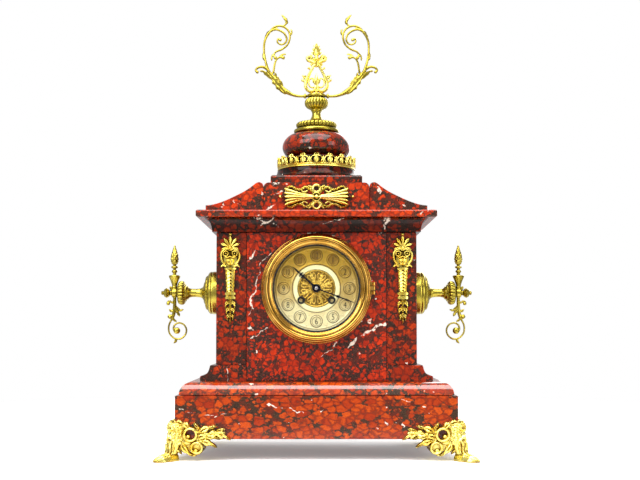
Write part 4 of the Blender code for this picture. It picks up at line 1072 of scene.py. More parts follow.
def build_finial():
    """An open pear of two scrolling ribs with a bud inside, volutes and a leaf sprig above."""
    def bar(points, sides):
        return tube(flat_path(points), sides)

    def spray(points, count, thick):
        return leaf(flat_path(points), lobes=count, thick=thick)

    low = span("finial")[0][2]
    foot = [(0, low), (5.2, low), (4.6, low + 1.0), (2.4, low + 2.0), (2.0, low + 3.4),
            (3.4, low + 4.6), (0, low + 5.6)]
    middle = [
        lathe(foot, segments=32),
        bar([(0, 489.0, 1.8), (0, 496.0, 1.6), (0, 503.0, 1.5)], 10),
        bar([(0, 497.5, 1.6), (0, 503.5, 2.9), (0, 508.5, 2.4), (0, 514.0, 0.5)], 12),
        bar([(0, 524.6, 2.4), (0, 530.0, 3.4), (0, 536.0, 3.0), (0, 542.0, 1.8),
             (0, 552.0, 1.0)], 12),
        ball((0, -1.6, 533.0), 3.2), ball((0, 1.6, 533.0), 3.2), ball((0, 0, 540.4), 2.6),
        spray([(0, 546.0, 1.6), (0, 550.4, 3.0), (0, 556.2, 0.5)], 2, 2.0),
    ]
    half = [
        bar([(1.2, 495.4, 1.6), (2.6, 491.4, 2.1), (6.6, 488.9, 2.3),
             (11.4, 490.4, 2.4), (14.4, 494.8, 2.4), (14.6, 500.6, 2.3),
             (12.4, 507.2, 2.2), (9.4, 513.4, 2.0), (6.2, 519.6, 1.9),
             (3.4, 524.4, 1.9), (0, 526.8, 1.9)], 12),
        bar([(2.0, 496.4, 1.3), (5.8, 494.6, 1.3), (9.4, 496.6, 1.3),
             (10.6, 500.8, 1.2), (9.2, 505.6, 1.1), (6.0, 507.0, 1.1),
             (3.6, 504.0, 1.1), (2.2, 500.0, 1.1)], 8),
        spray([(0.6, 498.0, 1.4), (3.4, 502.6, 2.2), (5.2, 508.2, 0.5)], 1, 1.9),
        spray([(12.0, 505.0, 1.6), (15.6, 508.2, 2.6), (19.6, 511.6, 0.5)], 1, 2.2),
        bar([(13.0, 503.2, 1.4), (16.6, 502.8, 1.4), (19.0, 504.4, 2.0)], 8),
        ball((19.0, 0, 504.6), 2.2),
        bar([(7.0, 519.6, 1.3), (10.4, 521.0, 1.7)], 8), ball((10.4, 0, 521.2), 1.9),
        bar([(0.6, 528.4, 2.1), (4.6, 528.6, 2.2), (8.4, 530.8, 2.2),
             (11.6, 532.0, 2.1), (12.6, 535.6, 2.0), (10.2, 537.6, 1.9),
             (8.6, 535.6, 1.9)], 12),
        spray([(2.6, 531.0, 1.8), (6.4, 534.6, 3.4), (8.6, 540.6, 0.6)], 2, 2.2),
        spray([(1.6, 525.6, 1.4), (5.0, 524.8, 2.0), (8.6, 526.8, 0.5)], 1, 2.0),
        spray([(0.4, 538.6, 1.5), (3.8, 541.2, 2.2), (7.0, 543.2, 0.5)], 1, 1.9),
        spray([(0.4, 543.0, 1.4), (3.2, 545.8, 2.0), (5.8, 548.4, 0.5)], 1, 1.8),
        spray([(0.4, 547.4, 1.2), (2.4, 549.6, 1.6), (4.0, 552.6, 0.5)], 1, 1.7),
    ]
    shapes = middle + half + [flip(part) for part in half]
    piece("finial_chased", cast(join(*shapes), 0.40), GILT, "case", ["finial"])


# ---------------------------------------------------------------- flat mounts


def build_pediment_mount():
    """Two fluted sheaves from a ringed boss, between twisted ribbons and their bows."""
    low, high = span("pediment_mount")
    middle, face = (low[2] + high[2]) / 2, CREST_FRONT - GAP
    canvas = Relief(low[0], high[0], -18.5, 18.5, 0.40)
    x = mirrored_x(canvas)
    z = canvas.z
    for up in (-1, 1):
        canvas.stroke([(2.5, up * 3.0, 1.7), (7.0, up * 9.0, 1.8), (14.0, up * 12.8, 2.0),
                       (20.0, up * 9.6, 1.8), (26.0, up * 9.8, 2.0), (33.0, up * 13.4, 1.9),
                       (41.0, up * 10.6, 1.3)], 2.6, 0.35, 3.6, x=x)
        canvas.stroke([(12.0, up * 8.0, 1.2), (16.4, up * 6.0, 1.6), (21.0, up * 10.4, 1.2)],
                      2.2, x=x)
        canvas.ring(0, up * 11.0, 4.6, 1.9, 3.6)
        canvas.stroke([(3.6, up * 6.6, 1.5), (7.4, up * 12.6, 1.8), (10.0, up * 14.6, 1.3)], 3.0,
                      0.2, 3.0, x=x)
        for rank in (0.0, 1.0, 2.0):
            canvas.stroke([(3.0, up * 0.6 * rank, 1.4), (20.0, up * 2.0 * rank, 1.7),
                           (34.0, up * 3.9 * rank, 2.5), (39.4, up * 4.9 * rank, 1.9),
                           (41.6 - 0.7 * rank, up * 5.3 * rank, 0.6)], 6.0 - 0.8 * rank, x=x)
    canvas.stroke([(40.0, 0, 1.3), (45.0, 0, 0.9)], 3.6, x=x)
    canvas.bulge(1 - (np.hypot(x - 47.0, z) / 2.4)**2, 4.8)
    canvas.ring(0, 0, 5.2, 1.3, 5.8)
    canvas.ball(0, 0, 4.0, 7.6)

    def place(u, v, h):
        return np.stack([u, face - h, middle + v], -1)

    piece("pediment_mount_chased", canvas.shape(place, 0.7), CREST_GILT, "case", ["pediment_mount"])


def build_pilaster_mounts():
    """A flame palmette over a lyre of volutes, a scaled shaft and a drop of husks."""
    low, high = span("pilaster_mount_left")
    middle, face = (low[0] + high[0]) / 2, PILASTER_FRONT - GAP
    canvas = Relief(-13.4, 13.4, low[2], high[2] + 1.5, 0.36)
    x, z = mirrored_x(canvas), canvas.z
    canvas.ball(0, 286.6, 2.4, 3.8)
    for degrees, length, wide in ((0, 17.0, 2.7), (27, 16.0, 2.6), (54, 13.6, 2.4), (84, 11.0, 2.1)):
        angle = math.radians(degrees)
        path = []
        for t, share in ((0.15, 0.5), (0.5, 0.8), (0.78, 1.0), (1.0, 0.3)):
            bend = angle * (0.8 + 0.35 * t)
            path.append((length * t * math.sin(bend), 268.0 + length * t * math.cos(bend),
                         wide * share))
        canvas.stroke(path, 4.6 - 0.012 * degrees, x=x)
    canvas.ball(0, 269.4, 3.2, 6.4)
    eye_x, eye_z = 5.6, 261.6
    volute = []
    for angle in np.linspace(-0.4 * math.pi, 1.5 * math.pi, 12):
        reach = 3.5 * (1 - 0.2 * angle / TAU)
        volute.append((eye_x + reach * math.cos(angle), eye_z + reach * math.sin(angle), 1.3))
    canvas.stroke(volute, 4.4, steps=1, x=x)
    canvas.bulge(1 - (np.hypot(x - eye_x, z - eye_z) / 1.7)**2, 5.0)
    canvas.stroke([(0, 265.4, 1.6), (3.4, 267.6, 1.6), (8.0, 266.4, 1.7), (11.4, 262.4, 1.8),
                   (11.9, 257.0, 1.9), (10.4, 251.6, 1.8), (7.4, 247.6, 1.5)], 4.2, x=x)
    bulb = 1 - (x / 5.4)**2 - ((z - 251.6) / 6.2)**2
    canvas.raise_to(bulb, 5.8 * domed(bulb) * (0.86 + 0.14 * np.cos(1.9 * x)))
    canvas.stroke([(0, 258.2, 1.2), (3.4, 256.6, 1.5), (7.0, 258.4, 1.2)], 5.2, x=x)
    canvas.raise_to(1 - (x / 8.4)**6 - ((z - 254.0) / 9.5)**6, 1.6 + 0 * x)
    canvas.stroke([(5.6, 245.0, 1.5), (9.4, 246.6, 1.5), (11.4, 244.8, 1.5)], 3.6, x=x)
    canvas.raise_to(1 - (x / 7.4)**4 - ((z - 242.0) / 1.5)**4, 3.8 - 0.05 * x**2)

    width = 6.5 - 1.4 * (241.0 - z) / 30.0
    inside = 1 - np.maximum(np.abs(x) / width, np.abs(z - 226.0) / 15.2)**8
    row = (z + 0.75 * x) / 4.3
    scale = 1.9 + 1.5 * (1 - (row - np.floor(row)))**0.8 * np.clip(1 - x / (0.72 * width), 0, 1)**0.35
    rail = 3.4 * domed(1 - ((x - 0.86 * width) / (0.15 * width))**2)
    canvas.raise_to(inside, np.maximum(np.where(x < 0.72 * width, scale, 1.0), rail))
    for band in (209.6, 204.4):
        canvas.raise_to(1 - (x / 6.8)**6 - ((z - band) / 2.0)**4, 3.6 - 0.035 * x**2)
    canvas.raise_to(1 - (x / 5.0)**6 - ((z - 207.0) / 2.4)**4, 2.6 + 0 * x)
    for top, wide, long in ((202.0, 6.4, 12.0), (192.6, 5.2, 10.0), (184.2, 3.6, 8.6)):
        canvas.leaf([(0.6, top, 1.6), (wide * 0.75, top - 0.40 * long, 2.5), (wide, top - long, 0.5)],
                    2, 3.4, x=x)
        canvas.leaf([(0, top + 0.6, 1.6), (0, top - 0.45 * long, 2.6), (0, top - long, 0.8)], 2, 4.2,
                    x=x)
    canvas.stroke([(0, 177.6, 1.8), (0, 174.0, 1.5), (0, 171.6, 0.9)], 3.2)
    for name, side in SIDES.items():
        def place(u, v, h, at=-side * middle):
            return np.stack([u + at, face - h, v], -1)
        piece(f"pilaster_mount_{name}_chased", canvas.shape(place, 0.7), PANEL_GILT, "case",
              [f"pilaster_mount_{name}"])


# ---------------------------------------------------------------- side sconces


def build_sconces():
    stem = [(0, 188.6), (9.5, 188.6), (12.8, 188.0), (15.4, 186.2), (16.3, 183.2), (16.0, 180.6),
            (14.0, 178.4), (11.4, 177.8), (11.6, 176.6), (9.2, 175.9), (8.9, 174.0), (6.6, 172.6),
            (5.6, 169.6), (5.5, 163.0), (6.0, 157.6), (7.6, 154.4), (10.5, 152.8), (14.2, 152.2),
            (15.0, 151.0), (18.8, 150.4), (22.0, 149.6), (23.4, 148.0), (23.0, 146.6), (25.6, 146.2),
            (27.8, 144.6), (28.8, 142.4), (28.2, 140.6), (28.8, 139.4), (28.8, 130.0), (0, 130.0)]

    def carving(turn, radius, along):
        disc = lobes(20, 2.4, 177.6, 188.4)(turn, radius, along)
        band = lobes(28, 0.30, 147.0, 151.0)(turn, radius, along)
        return disc + band

    turned = lathe(eased(stem, 0.9), "X", (0, SCONCE_Z), 224, carving)
    knob = [(0, 196.8), (3.3, 196.8), (3.6, 198.2), (3.0, 199.0), (5.0, 200.0), (6.8, 203.4),
            (5.2, 206.2), (3.0, 207.4), (2.4, 208.2), (2.9, 209.4), (2.2, 210.5), (0, 210.9)]
    knob_shape = lathe(knob, "X", (0, SCONCE_Z), 48)
    branch = cast(branch_shape(), 0.42)
    for name, side in SIDES.items():
        for part, shape in (("stem", turned), ("branch", branch), ("knob", knob_shape)):
            node = f"sconce_{part}_{name}"
            piece(f"{node}_chased", shape if side > 0 else flip(shape), ANTIQUE, "case", [node])


def branch_shape():
    """The right-hand branch: a scaled bud in a ribbed cup over a leafy C scroll."""
    x = 192.8
    bud = [(0, 279.0), (0.9, 277.8), (1.3, 276.0), (2.2, 273.0), (3.6, 268.4), (4.9, 263.6),
           (5.3, 259.6), (4.9, 255.6), (3.6, 252.6), (2.2, 251.0), (2.0, 250.0), (4.3, 249.2),
           (4.7, 248.0), (4.3, 246.9), (2.0, 246.0), (2.0, 244.6), (3.7, 243.4), (4.0, 242.2),
           (3.6, 241.0), (2.2, 240.2), (2.6, 237.4), (7.2, 236.8), (7.9, 235.6), (7.2, 233.6),
           (5.6, 230.2), (4.2, 226.0), (3.2, 222.4), (3.8, 221.0), (3.4, 219.6), (2.8, 217.0),
           (2.8, 212.0), (0, 212.0)]

    def scales(turn, radius, along):
        row = np.floor((along - 252.0) / 3.0)
        zone = (along > 251.5) & (along < 277.0)
        phase = (along - 252.0) / 3.0 - row
        wave = np.cos(8 * turn + math.pi * row)
        fine = np.where(zone, radius * (0.09 * wave - 0.16 * phase + 0.06), 0)
        return fine + lobes(12, 0.8, 222.0, 235.0)(turn, radius, along)

    profile = np.array(bud)
    dense = [profile[0]]
    for a, b in zip(profile[1:-1], profile[2:]):
        steps = max(1, int(np.linalg.norm(b - a) / 0.6))
        dense += [a + (b - a) * k / steps for k in range(steps)]
    upper = lathe(np.vstack([dense, profile[-2:]]), "Z", (x, 0), 96, scales)
    hub = lathe([(0, 189.2), (5.2, 189.2), (6.1, 190.4), (6.1, 195.2), (5.2, 196.4), (0, 196.4)],
                "X", (0, SCONCE_Z), 48)
    stem = [(192.8, 212.0, 2.6), (192.4, 204.0, 2.3), (192.6, 194.0, 2.4), (193.6, 184.0, 2.2),
            (196.0, 177.0, 1.5)]
    scroll = [(195.4, 178.0, 1.4), (198.6, 173.0, 1.3), (200.4, 166.6, 1.25), (199.2, 158.4, 1.25),
              (192.8, 151.6, 1.3), (184.4, 150.9, 1.3), (177.8, 156.4, 1.25), (176.4, 163.8, 1.25),
              (180.0, 170.2, 1.25), (187.0, 172.4, 1.25), (192.2, 169.6, 1.3), (193.8, 164.6, 1.4),
              (191.6, 160.0, 1.6)]
    shapes = [upper, hub, tube(flat_path(stem), 14, 4), tube(flat_path(scroll), 12, 4),
              ball((189.2, 0, 161.9), 4.7, (1, 0.8, 1)), ball((198.6, 0, 180.2), 2.7),
              ball((201.0, 0, 198.4), 2.3)]
    curls = [
        [(193.0, 203.0, 1.5), (195.8, 199.6, 1.4), (198.8, 201.8, 1.4), (201.8, 200.8, 1.4),
         (202.2, 198.0, 1.5)],
        [(193.6, 187.0, 1.6), (196.2, 181.6, 1.6), (199.4, 183.0, 1.4), (200.8, 180.6, 1.4)],
    ]
    shapes += [tube(flat_path(points), 10, 3) for points in curls]
    leaves = [
        ([(192.2, 196.0, 2.2), (188.4, 191.0, 3.2), (185.0, 189.4, 2.0), (180.6, 190.6, 0.6)],
         (-0.3, -0.8, 0.4), 2),
        ([(192.4, 192.0, 2.2), (188.6, 187.0, 3.0), (185.6, 181.4, 0.6)], (-0.4, -0.8, 0), 2),
        ([(194.6, 179.4, 1.4), (192.6, 176.0, 1.9), (189.6, 174.2, 0.5)], (-0.4, -0.8, 0), 1),
        ([(191.0, 151.8, 1.5), (190.8, 148.0, 2.0), (193.4, 144.8, 0.5)], (0.2, -0.8, -0.2), 1),
        ([(193.0, 190.0, 1.6), (196.8, 188.6, 2.2), (200.0, 191.0, 0.5)], (0.4, -0.8, 0.2), 1),
        ([(192.8, 212.0, 2.2), (188.8, 217.4, 2.6), (187.0, 222.0, 0.7)], (-0.4, -0.8, 0.3), 2),
        ([(192.8, 212.0, 2.2), (196.9, 217.4, 2.6), (198.8, 222.0, 0.7)], (0.4, -0.8, 0.3), 2),
    ]
    for points, facing, count in leaves:
        shapes.append(leaf(flat_path(points, -0.4), facing, count, thick=1.5, cup=-0.2))
        shapes.append(leaf(flat_path(points, 0.4), (facing[0], 0.8, facing[2]), count, thick=1.5,
                           cup=-0.2))
    return join(*shapes)


# ---------------------------------------------------------------- feet


def bump_at(s, z, s0, z0, ws, wz, height):
    return height * np.exp(-((s - s0) / ws)**2 - ((z - z0) / wz)**2)


def groove(s, z, points, height):
    """A raised (or, below 0, sunk) soft line on the mask, on both sides of its middle."""
    _, _, distance, radius = nearest(s, z, points, 4)
    return height * np.exp(-(distance / radius)**2) * np.clip(radius, 0, 1)


def mask_rings():
    """A bearded classical head, as radii round an upright axis on the foot's diagonal."""
    rows, columns = 104, 176
    z = np.linspace(9.0, 50.4, rows)[:, None] + np.zeros(columns)[None, :]
    turn = (np.arange(columns) - columns / 2)[None, :] * TAU / columns + np.zeros(rows)[:, None]
    outline = [(8, 6.6), (14, 8.0), (20, 9.6), (26, 10.8), (33, 11.4), (39, 11.6), (43, 11.8),
               (47, 10.2), (49.5, 7.0), (51, 3.0)]
    base = np.interp(z, [p[0] for p in outline], [p[1] for p in outline])
    s = turn * 11.5
    a = np.abs(s)
    h = np.zeros(z.shape)
    h += bump_at(s, z, 0, 34.2, 1.7, 4.2, 2.3) + bump_at(s, z, 0, 30.8, 2.1, 1.7, 3.0)
    h += bump_at(a, z, 2.2, 30.3, 1.1, 1.0, 1.4)
    h += groove(a, z, [(1.0, 38.4, 1.3), (4.6, 40.2, 1.6), (8.4, 38.0, 1.1)], 2.5)
    h += bump_at(a, z, 4.4, 36.1, 2.7, 1.6, -2.6) + bump_at(a, z, 4.3, 35.9, 1.5, 1.1, 1.8)
    h += bump_at(a, z, 6.0, 31.8, 2.6, 2.4, 1.8)
    h += bump_at(s, z, 0, 26.3, 3.2, 0.7, -2.0) + bump_at(s, z, 0, 25.0, 2.3, 0.9, 1.5)
    h += groove(a, z, [(0.7, 28.5, 1.3), (3.9, 28.3, 1.8), (7.4, 25.6, 1.6), (9.8, 26.8, 1.0)], 2.6)
    beard = np.clip((26.6 - 0.10 * a - z) / 3.6, 0, 1) * np.clip((13.5 - a) / 3.0, 0, 1)
    locks = np.cos(1.15 * a + 1.3 * np.sin(0.36 * z + 0.4) + 0.5)
    fine = np.cos(4.0 * a + 2.2 * np.sin(0.36 * z + 0.4))
    h += beard * (2.0 + 1.5 * locks + 0.25 * fine)
    hair = np.clip((z - 41.4 + 0.05 * a**2) / 1.6, 0, 1)
    side_hair = np.clip((a - 8.6) / 1.6, 0, 1) * np.clip((z - 17.0) / 4.0, 0, 1)
    hair = np.maximum(hair, side_hair)
    curls = np.zeros(z.shape)
    spots = [(0, 43.8), (4.2, 43.2), (8.2, 41.6), (11.2, 38.0), (12.0, 33.4), (11.6, 28.6),
             (2.2, 47.2), (6.6, 46.4), (10.8, 44.6), (14.6, 41.0), (16.0, 36.4), (15.6, 31.4),
             (14.6, 25.6), (19.6, 43.0), (20.4, 38.0), (20.0, 32.6), (18.6, 27.0), (17.0, 21.6)]
    for s0, z0 in spots:
        reach = np.hypot(a - s0, z - z0)
        swirl = np.cos(TAU * (reach / 2.2) - np.arctan2(z - z0, a - s0))
        curls = np.maximum(curls, domed(1 - (reach / 3.2)**2) * (2.4 + 0.5 * swirl))
    h = h * (1 - hair) + hair * (0.6 + curls)
    radius = base + h
    centre = np.interp(z, [9, 14, 24, 32, 41, 50], [3.4, 1.4, -2.2, -4.2, -4.8, -5.6])
    out = centre + radius * np.cos(turn)
    across = radius * 0.82 * np.sin(turn)
    return np.stack([out, across, z], -1)


def to_corner(shape):
    """From (out along the diagonal, across it, up) at the front right corner to the clock."""
    points, faces = shape
    out, across, up = points.T
    root = math.sqrt(0.5)
    u, v = (out + across) * root, (out - across) * root
    hidden = (u < GAP) & (v < GAP) & (up > PLINTH_LOW[2] - GAP)
    u = np.where(hidden & (u >= v), GAP, u)
    v = np.where(hidden & (v > u), GAP, v)
    return np.stack([PLINTH_X + u, -(PLINTH_Y + v), up], -1), faces


def wing_canvas():
    """Acanthus, a ringed crescent and a loop along a plinth face; x runs out from the corner."""
    canvas = Relief(-72.0, 8.0, 3.0, 52.0, 0.62)
    canvas.stroke([(2, 30, 6.5), (-8, 24, 5.5), (-18, 24, 4.0), (-30, 28, 5.5)], 2.0)
    canvas.leaf([(-40, 31, 5.0), (-50, 33.4, 6.4), (-60, 32, 5.4), (-69.5, 26.4, 0.9)], 3, 5.4, 0.5)
    canvas.leaf([(-28, 33, 3.4), (-36, 38.4, 4.6), (-45, 41.4, 3.9), (-52.5, 43.4, 0.8)], 2, 6.2)
    canvas.leaf([(-48, 34, 2.5), (-56, 38.0, 3.2), (-63, 39.4, 0.7)], 1, 5.2)
    canvas.leaf([(-26, 29, 3.4), (-36, 30.6, 4.4), (-48, 29.4, 3.2), (-57, 27, 0.8)], 3, 6.6)
    canvas.leaf([(-30, 26, 3.0), (-40, 23, 4.6), (-47, 20.5, 3.4), (-53, 16.8, 0.8)], 2, 5.6)
    canvas.leaf([(-30, 36, 2.6), (-29, 41.5, 3.8), (-24.5, 47.0, 0.8)], 1, 5.2)
    canvas.leaf([(-21, 39, 3.0), (-14, 44.2, 4.8), (-5, 47.4, 4.2), (4, 49.4, 1.0)], 3, 5.8)
    canvas.leaf([(-9, 40, 3.4), (-8, 28, 4.8), (-12, 16, 4.4), (-20, 8.4, 2.8), (-27, 6.8, 0.8)],
                3, 5.2)
    canvas.leaf([(-2, 24, 3.4), (-3, 16, 3.6), (-9, 9.0, 1.0)], 2, 4.6)
    canvas.ring(-20.0, 32.6, 7.6, 2.5, 6.8)
    canvas.ring(-28.0, 16.2, 6.6, 2.1, 5.6)
    crescent = 1 - (np.hypot(canvas.x + 20.4, canvas.z - 33.2) / 5.5)**2
    loop = 1 - (np.hypot(canvas.x + 28.0, canvas.z - 17.0) / 4.7)**2
    canvas.pierce(2.0 * np.maximum(crescent, loop))
    canvas.ball(-17.2, 30.2, 3.1, 5.0)
    canvas.ball(-27.0, 12.8, 3.0, 4.4)
    return canvas


def toe_rings():
    """A flattened toe under overlapping fluted leaves, as rings along the diagonal."""
    out = np.linspace(-3.0, 30.2, 68)
    wide = np.interp(out, [-3, 4, 12, 20, 25, 28.4, 30.2], [6.2, 7.6, 8.6, 8.9, 8.0, 5.8, 3.0])
    tall = np.interp(out, [-3, 5, 12, 20, 26, 29, 30.2], [9.6, 11.0, 10.4, 8.2, 5.8, 3.8, 2.2])
    q = np.linspace(-1, 1, 41)
    flute = np.abs(np.cos(2.5 * math.pi * q))**0.6
    rings = []
    for d, w, h in zip(out, wide, tall):
        layer = sum(np.exp(-((d - start - lean * flute) / 1.5)**2)
                    for start, lean in ((9.0, 2.4), (19.5, 2.2)))
        top = h * (1 - 0.82 * np.abs(q)**3.2) * (0.80 + 0.20 * flute) + 0.9 * layer * (1 - q**4)
        vein = 0.25 * np.cos(15 * math.pi * q)
        up = np.maximum(top + vein * (1 - q**4), 0.6)
        reach = d + 1.1 * flute * max(0.0, (d - 22.0) / 8.0)
        ring = np.stack([reach + 0 * q, w * q, up], 1)
        sole = [(reach[-1], w * 0.94, 0.0), (reach[0], -w * 0.94, 0.0)]
        rings.append(np.vstack([ring, sole]))
    return skin(rings)


def build_feet():
    head = to_corner(skin(mask_rings()))
    canvas = wing_canvas()

    def front_face(u, v, h):
        return np.stack([PLINTH_X + u, -(PLINTH_Y + GAP) - h, v], -1)

    def side_face(u, v, h):
        return np.stack([PLINTH_X + GAP + h, -(PLINTH_Y + u), v], -1)

    front_wing = canvas.shape(front_face, 1.4)
    side_wing = canvas.shape(side_face, 1.4)
    toe_shape = to_corner(toe_rings())
    reach = 36.0
    pad = box((PLINTH_X - reach, -(PLINTH_Y + 2.0), 12.0),
              (PLINTH_X + 2.0, -(PLINTH_Y - reach), PLINTH_LOW[2] - GAP))
    foot = join(head, front_wing, side_wing, toe_shape, pad)
    for depth, front in (("front", 1), ("back", -1)):
        for name, side in SIDES.items():
            shape = foot if side > 0 else flip(foot)
            shape = shape if front > 0 else flip(shape, 1)
            node = f"foot_{depth}_{name}"
            piece(f"{node}_chased", shape, FOOT_GILT, "case", [node])


# ---------------------------------------------------------------- dial and bezel


def knuckles(x, y, zone, plate):
    """A hinge's barrels along Z with the leaf that joins each to its ring."""
    shapes = []
    for low, high in zone:
        barrel = [(0, low), (1.5, low), (1.9, low + 0.3), (1.9, high - 0.3), (1.5, high), (0, high)]
        shapes.append(lathe(barrel, "Z", (x, y), 32))
        (x0, y0), (x1, y1) = plate
        shapes.append(box((x0, y0, low), (x1, y1, high)))
    return shapes


def build_case_ring():
    front = PANEL_FRONT - GAP
    ring = [(71.5, front), (71.5, -72.6), (71.0, -73.6), (70.2, -73.9), (70.0, -75.0), (69.2, -76.0),
            (59.0, -76.0), (58.2, -75.6), (57.6, -74.6), (56.6, -74.2), (55.3, -73.4),
            (55.3, -72.3), (57.8, -72.3), (57.8, -42.0), (61.5, -42.0), (61.5, front)]
    shapes = [dial_lathe(rounded(ring, 0.5, 2, closed=True), 160)]
    zone = [(DIAL_Z - 8, DIAL_Z - 3), (DIAL_Z + 3, DIAL_Z + 8)]
    shapes += knuckles(73.8, -76.2, zone, ((68.0, -75.9), (73.8, -73.4)))
    for side in (-1, 1):
        x = sorted((side * 58.3, side * 61.0))
        shapes.append(box((x[0], -44.0, DIAL_Z - 5), (x[1], 49.7, DIAL_Z + 5)))
    piece("case_ring_turned", join(*shapes), BURNISHED, "case", ["case_ring"])
    # A black ring at the dial's edge: painted shadow for the gap between the dial and the case ring.
    edge = [(54.5, -73.7), (54.5, -74.2), (55.0, -74.6), (56.6, -74.7), (57.0, -74.2), (56.6, -73.7)]
    piece("sight_ring_painted_shadow", dial_lathe(edge, 160), BLACK_AND_SHADE, "case")


def build_bezel():
    rim = [(66.0, -76.3), (69.0, -76.3), (69.3, -77.0), (69.3, -78.8), (68.6, -79.8), (67.6, -80.2),
           (67.3, -81.4), (67.8, -82.4), (67.8, -86.4), (67.0, -88.8), (65.4, -90.1), (63.8, -90.3),
           (62.6, -89.5), (62.2, -88.4), (61.7, -88.4), (61.4, -89.4), (60.2, -89.5), (59.8, -88.5),
           (59.2, -88.3), (58.8, -87.9), (57.6, -87.5), (57.5, -86.6), (60.6, -86.6), (60.6, -80.0)]

    def milled(turn, radius, along):
        rope = ((radius > 59.9) & (radius < 61.6) & (along < -88.9)).astype(float)
        return 0.16 * rope * np.cos(120 * turn)

    ring = dial_lathe(rounded(rim, 0.45, 2, closed=True), 480, milled)
    hinge = knuckles(73.8, -76.2, [(DIAL_Z - 2.7, DIAL_Z + 2.7)], ((67.0, -78.9), (73.8, -76.5)))
    piece("bezel_turned", join(ring, *hinge), BURNISHED, "bezel", ["bezel"])
    # A black disc where the regulator hole is: painted shade of the hole.
    spot = [(0, -89.95), (1.0, -89.9), (1.25, -89.6), (1.25, -88.2), (0, -88.2)]
    piece("regulator_opening_painted_shadow", lathe(spot, "Y", (0, DIAL_Z + 61.4), 24), BLACK_AND_SHADE, "bezel")
    outer = [(0, -89.0), (15.0, -88.85), (35.0, -88.0), (50.0, -87.05), (60.2, -86.75)]
    inner = [(60.2, -85.9), (50.0, -86.2), (35.0, -87.2), (15.0, -88.0), (0, -88.15)]
    dome = dial_lathe([*outer, *inner], 128)
    piece("bezel_glass_domed", dome, GLASS, "bezel", ["bezel_glass"], sharp=60)


def hour_place(hour, radius):
    turn = TAU * hour / 12
    return radius * math.sin(turn), DIAL_Z + radius * math.cos(turn)


def build_dial():
    """A textured gilt plate with twelve raised cartouches round a cream enamel ring."""
    y = DIAL_FRONT
    disc = [(30.6, y), (31.6, y - 0.5), (32.8, y - 0.55), (33.4, y - 0.1), (50.6, y - 0.1),
            (51.2, y - 0.5), (52.2, y - 0.5), (52.8, y - 0.1), (55.4, y - 0.1), (56.2, y - 0.6),
            (DIAL_R, y - 0.6), (DIAL_R, y + 1.9), (5.0, y + 1.9), (5.0, y)]
    shapes = [dial_lathe(rounded(disc, 0.25, 2, closed=True), 192)]
    rim = [(0, y - 0.32), (4.9, y - 0.30), (5.5, y - 0.42), (6.0, y - 1.15), (6.7, y - 1.30),
           (7.3, y - 0.90), (7.5, y + 0.2), (0, y + 0.2)]
    for hour in range(12):
        shapes.append(lathe(rim, "Y", hour_place(hour, CARTOUCHE_AT), 48))
    for hour in range(12):
        for step, reach, size in ((0.5, 49.2, 1.25), (0.5, 35.8, 1.0), (0.40, 46.6, 0.7),
                                  (0.60, 46.6, 0.7), (0.5, 42.4, 0.8)):
            x, z = hour_place(hour + step, reach)
            shapes.append(ball((x, y - 0.1, z), size, (1, 0.7, 1), 12))
    for minute in range(60):
        x, z = hour_place(minute / 5, 54.0)
        shapes.append(ball((x, y - 0.1, z), 0.55, (1, 0.8, 1), 8))
    piece("dial_plate_cast", join(*shapes), DIAL_GOLD, "case", ["dial_plate"])
    for hour in range(1, 13):
        numeral(hour, y - 0.42)
    ring = [(24.6, y - 0.3), (25.0, y - 0.85), (26.0, y - 1.0), (28.8, y - 1.0), (29.8, y - 0.85),
            (30.2, y - 0.3)]
    piece("enamel_ring_glazed", dial_lathe(ring, 128), CREAM, "case", ["enamel_ring"])
    build_rosette(y - 0.3)
    for name, side in SIDES.items():
        x, z = side * WINDING_X, DIAL_Z + WINDING_Z
        # Black rings that fill the winding holes round the arbors: painted shade of the holes.
        collet = [(2.4, y - 0.2), (2.4, y - 1.5), (2.9, y - 1.9), (3.4, y - 2.3), (4.5, y - 2.3),
                  (5.0, y - 1.8), (5.0, y - 0.2)]
        piece(f"winding_hole_painted_shade_{name}", lathe(collet, "Y", (x, z), 48), BLACK_AND_SHADE, "case")


def numeral(hour, y):
    """A generic numeral: thin raised strokes in the cartouche, upright on the dial."""
    curve = bpy.data.curves.new(f"figure_{hour}", "FONT")
    curve.body = str(hour)
    curve.size = 11.4 * MM
    curve.extrude = 0.22 * MM
    curve.offset = -0.16 * MM
    curve.align_x = "CENTER"
    curve.align_y = "CENTER"
    text = bpy.data.objects.new(f"figure_{hour}", curve)
    bpy.context.scene.collection.objects.link(text)
    graph = bpy.context.evaluated_depsgraph_get()
    mesh = bpy.data.meshes.new_from_object(text.evaluated_get(graph))
    points = np.array([v.co for v in mesh.vertices]) / MM
    faces = [tuple(p.vertices) for p in mesh.polygons]
    bpy.data.objects.remove(text)
    bpy.data.curves.remove(curve)
    bpy.data.meshes.remove(mesh)
    middle = (points.max(0) + points.min(0)) / 2
    narrow = 0.74 if hour < 10 else 0.52
    x, z = hour_place(hour, CARTOUCHE_AT)
    flat = points - middle
    placed = np.stack([x + narrow * flat[:, 0], y - flat[:, 2], z + flat[:, 1]], 1)
    made = piece(f"numeral_{hour:02d}", (placed, faces), BLACK_AND_SHADE, "case")
    weld = bmesh.new()
    weld.from_mesh(made.data)
    bmesh.ops.remove_doubles(weld, verts=weld.verts, dist=1e-6)
    bmesh.ops.recalc_face_normals(weld, faces=weld.faces)
    weld.to_mesh(made.data)
    weld.free()


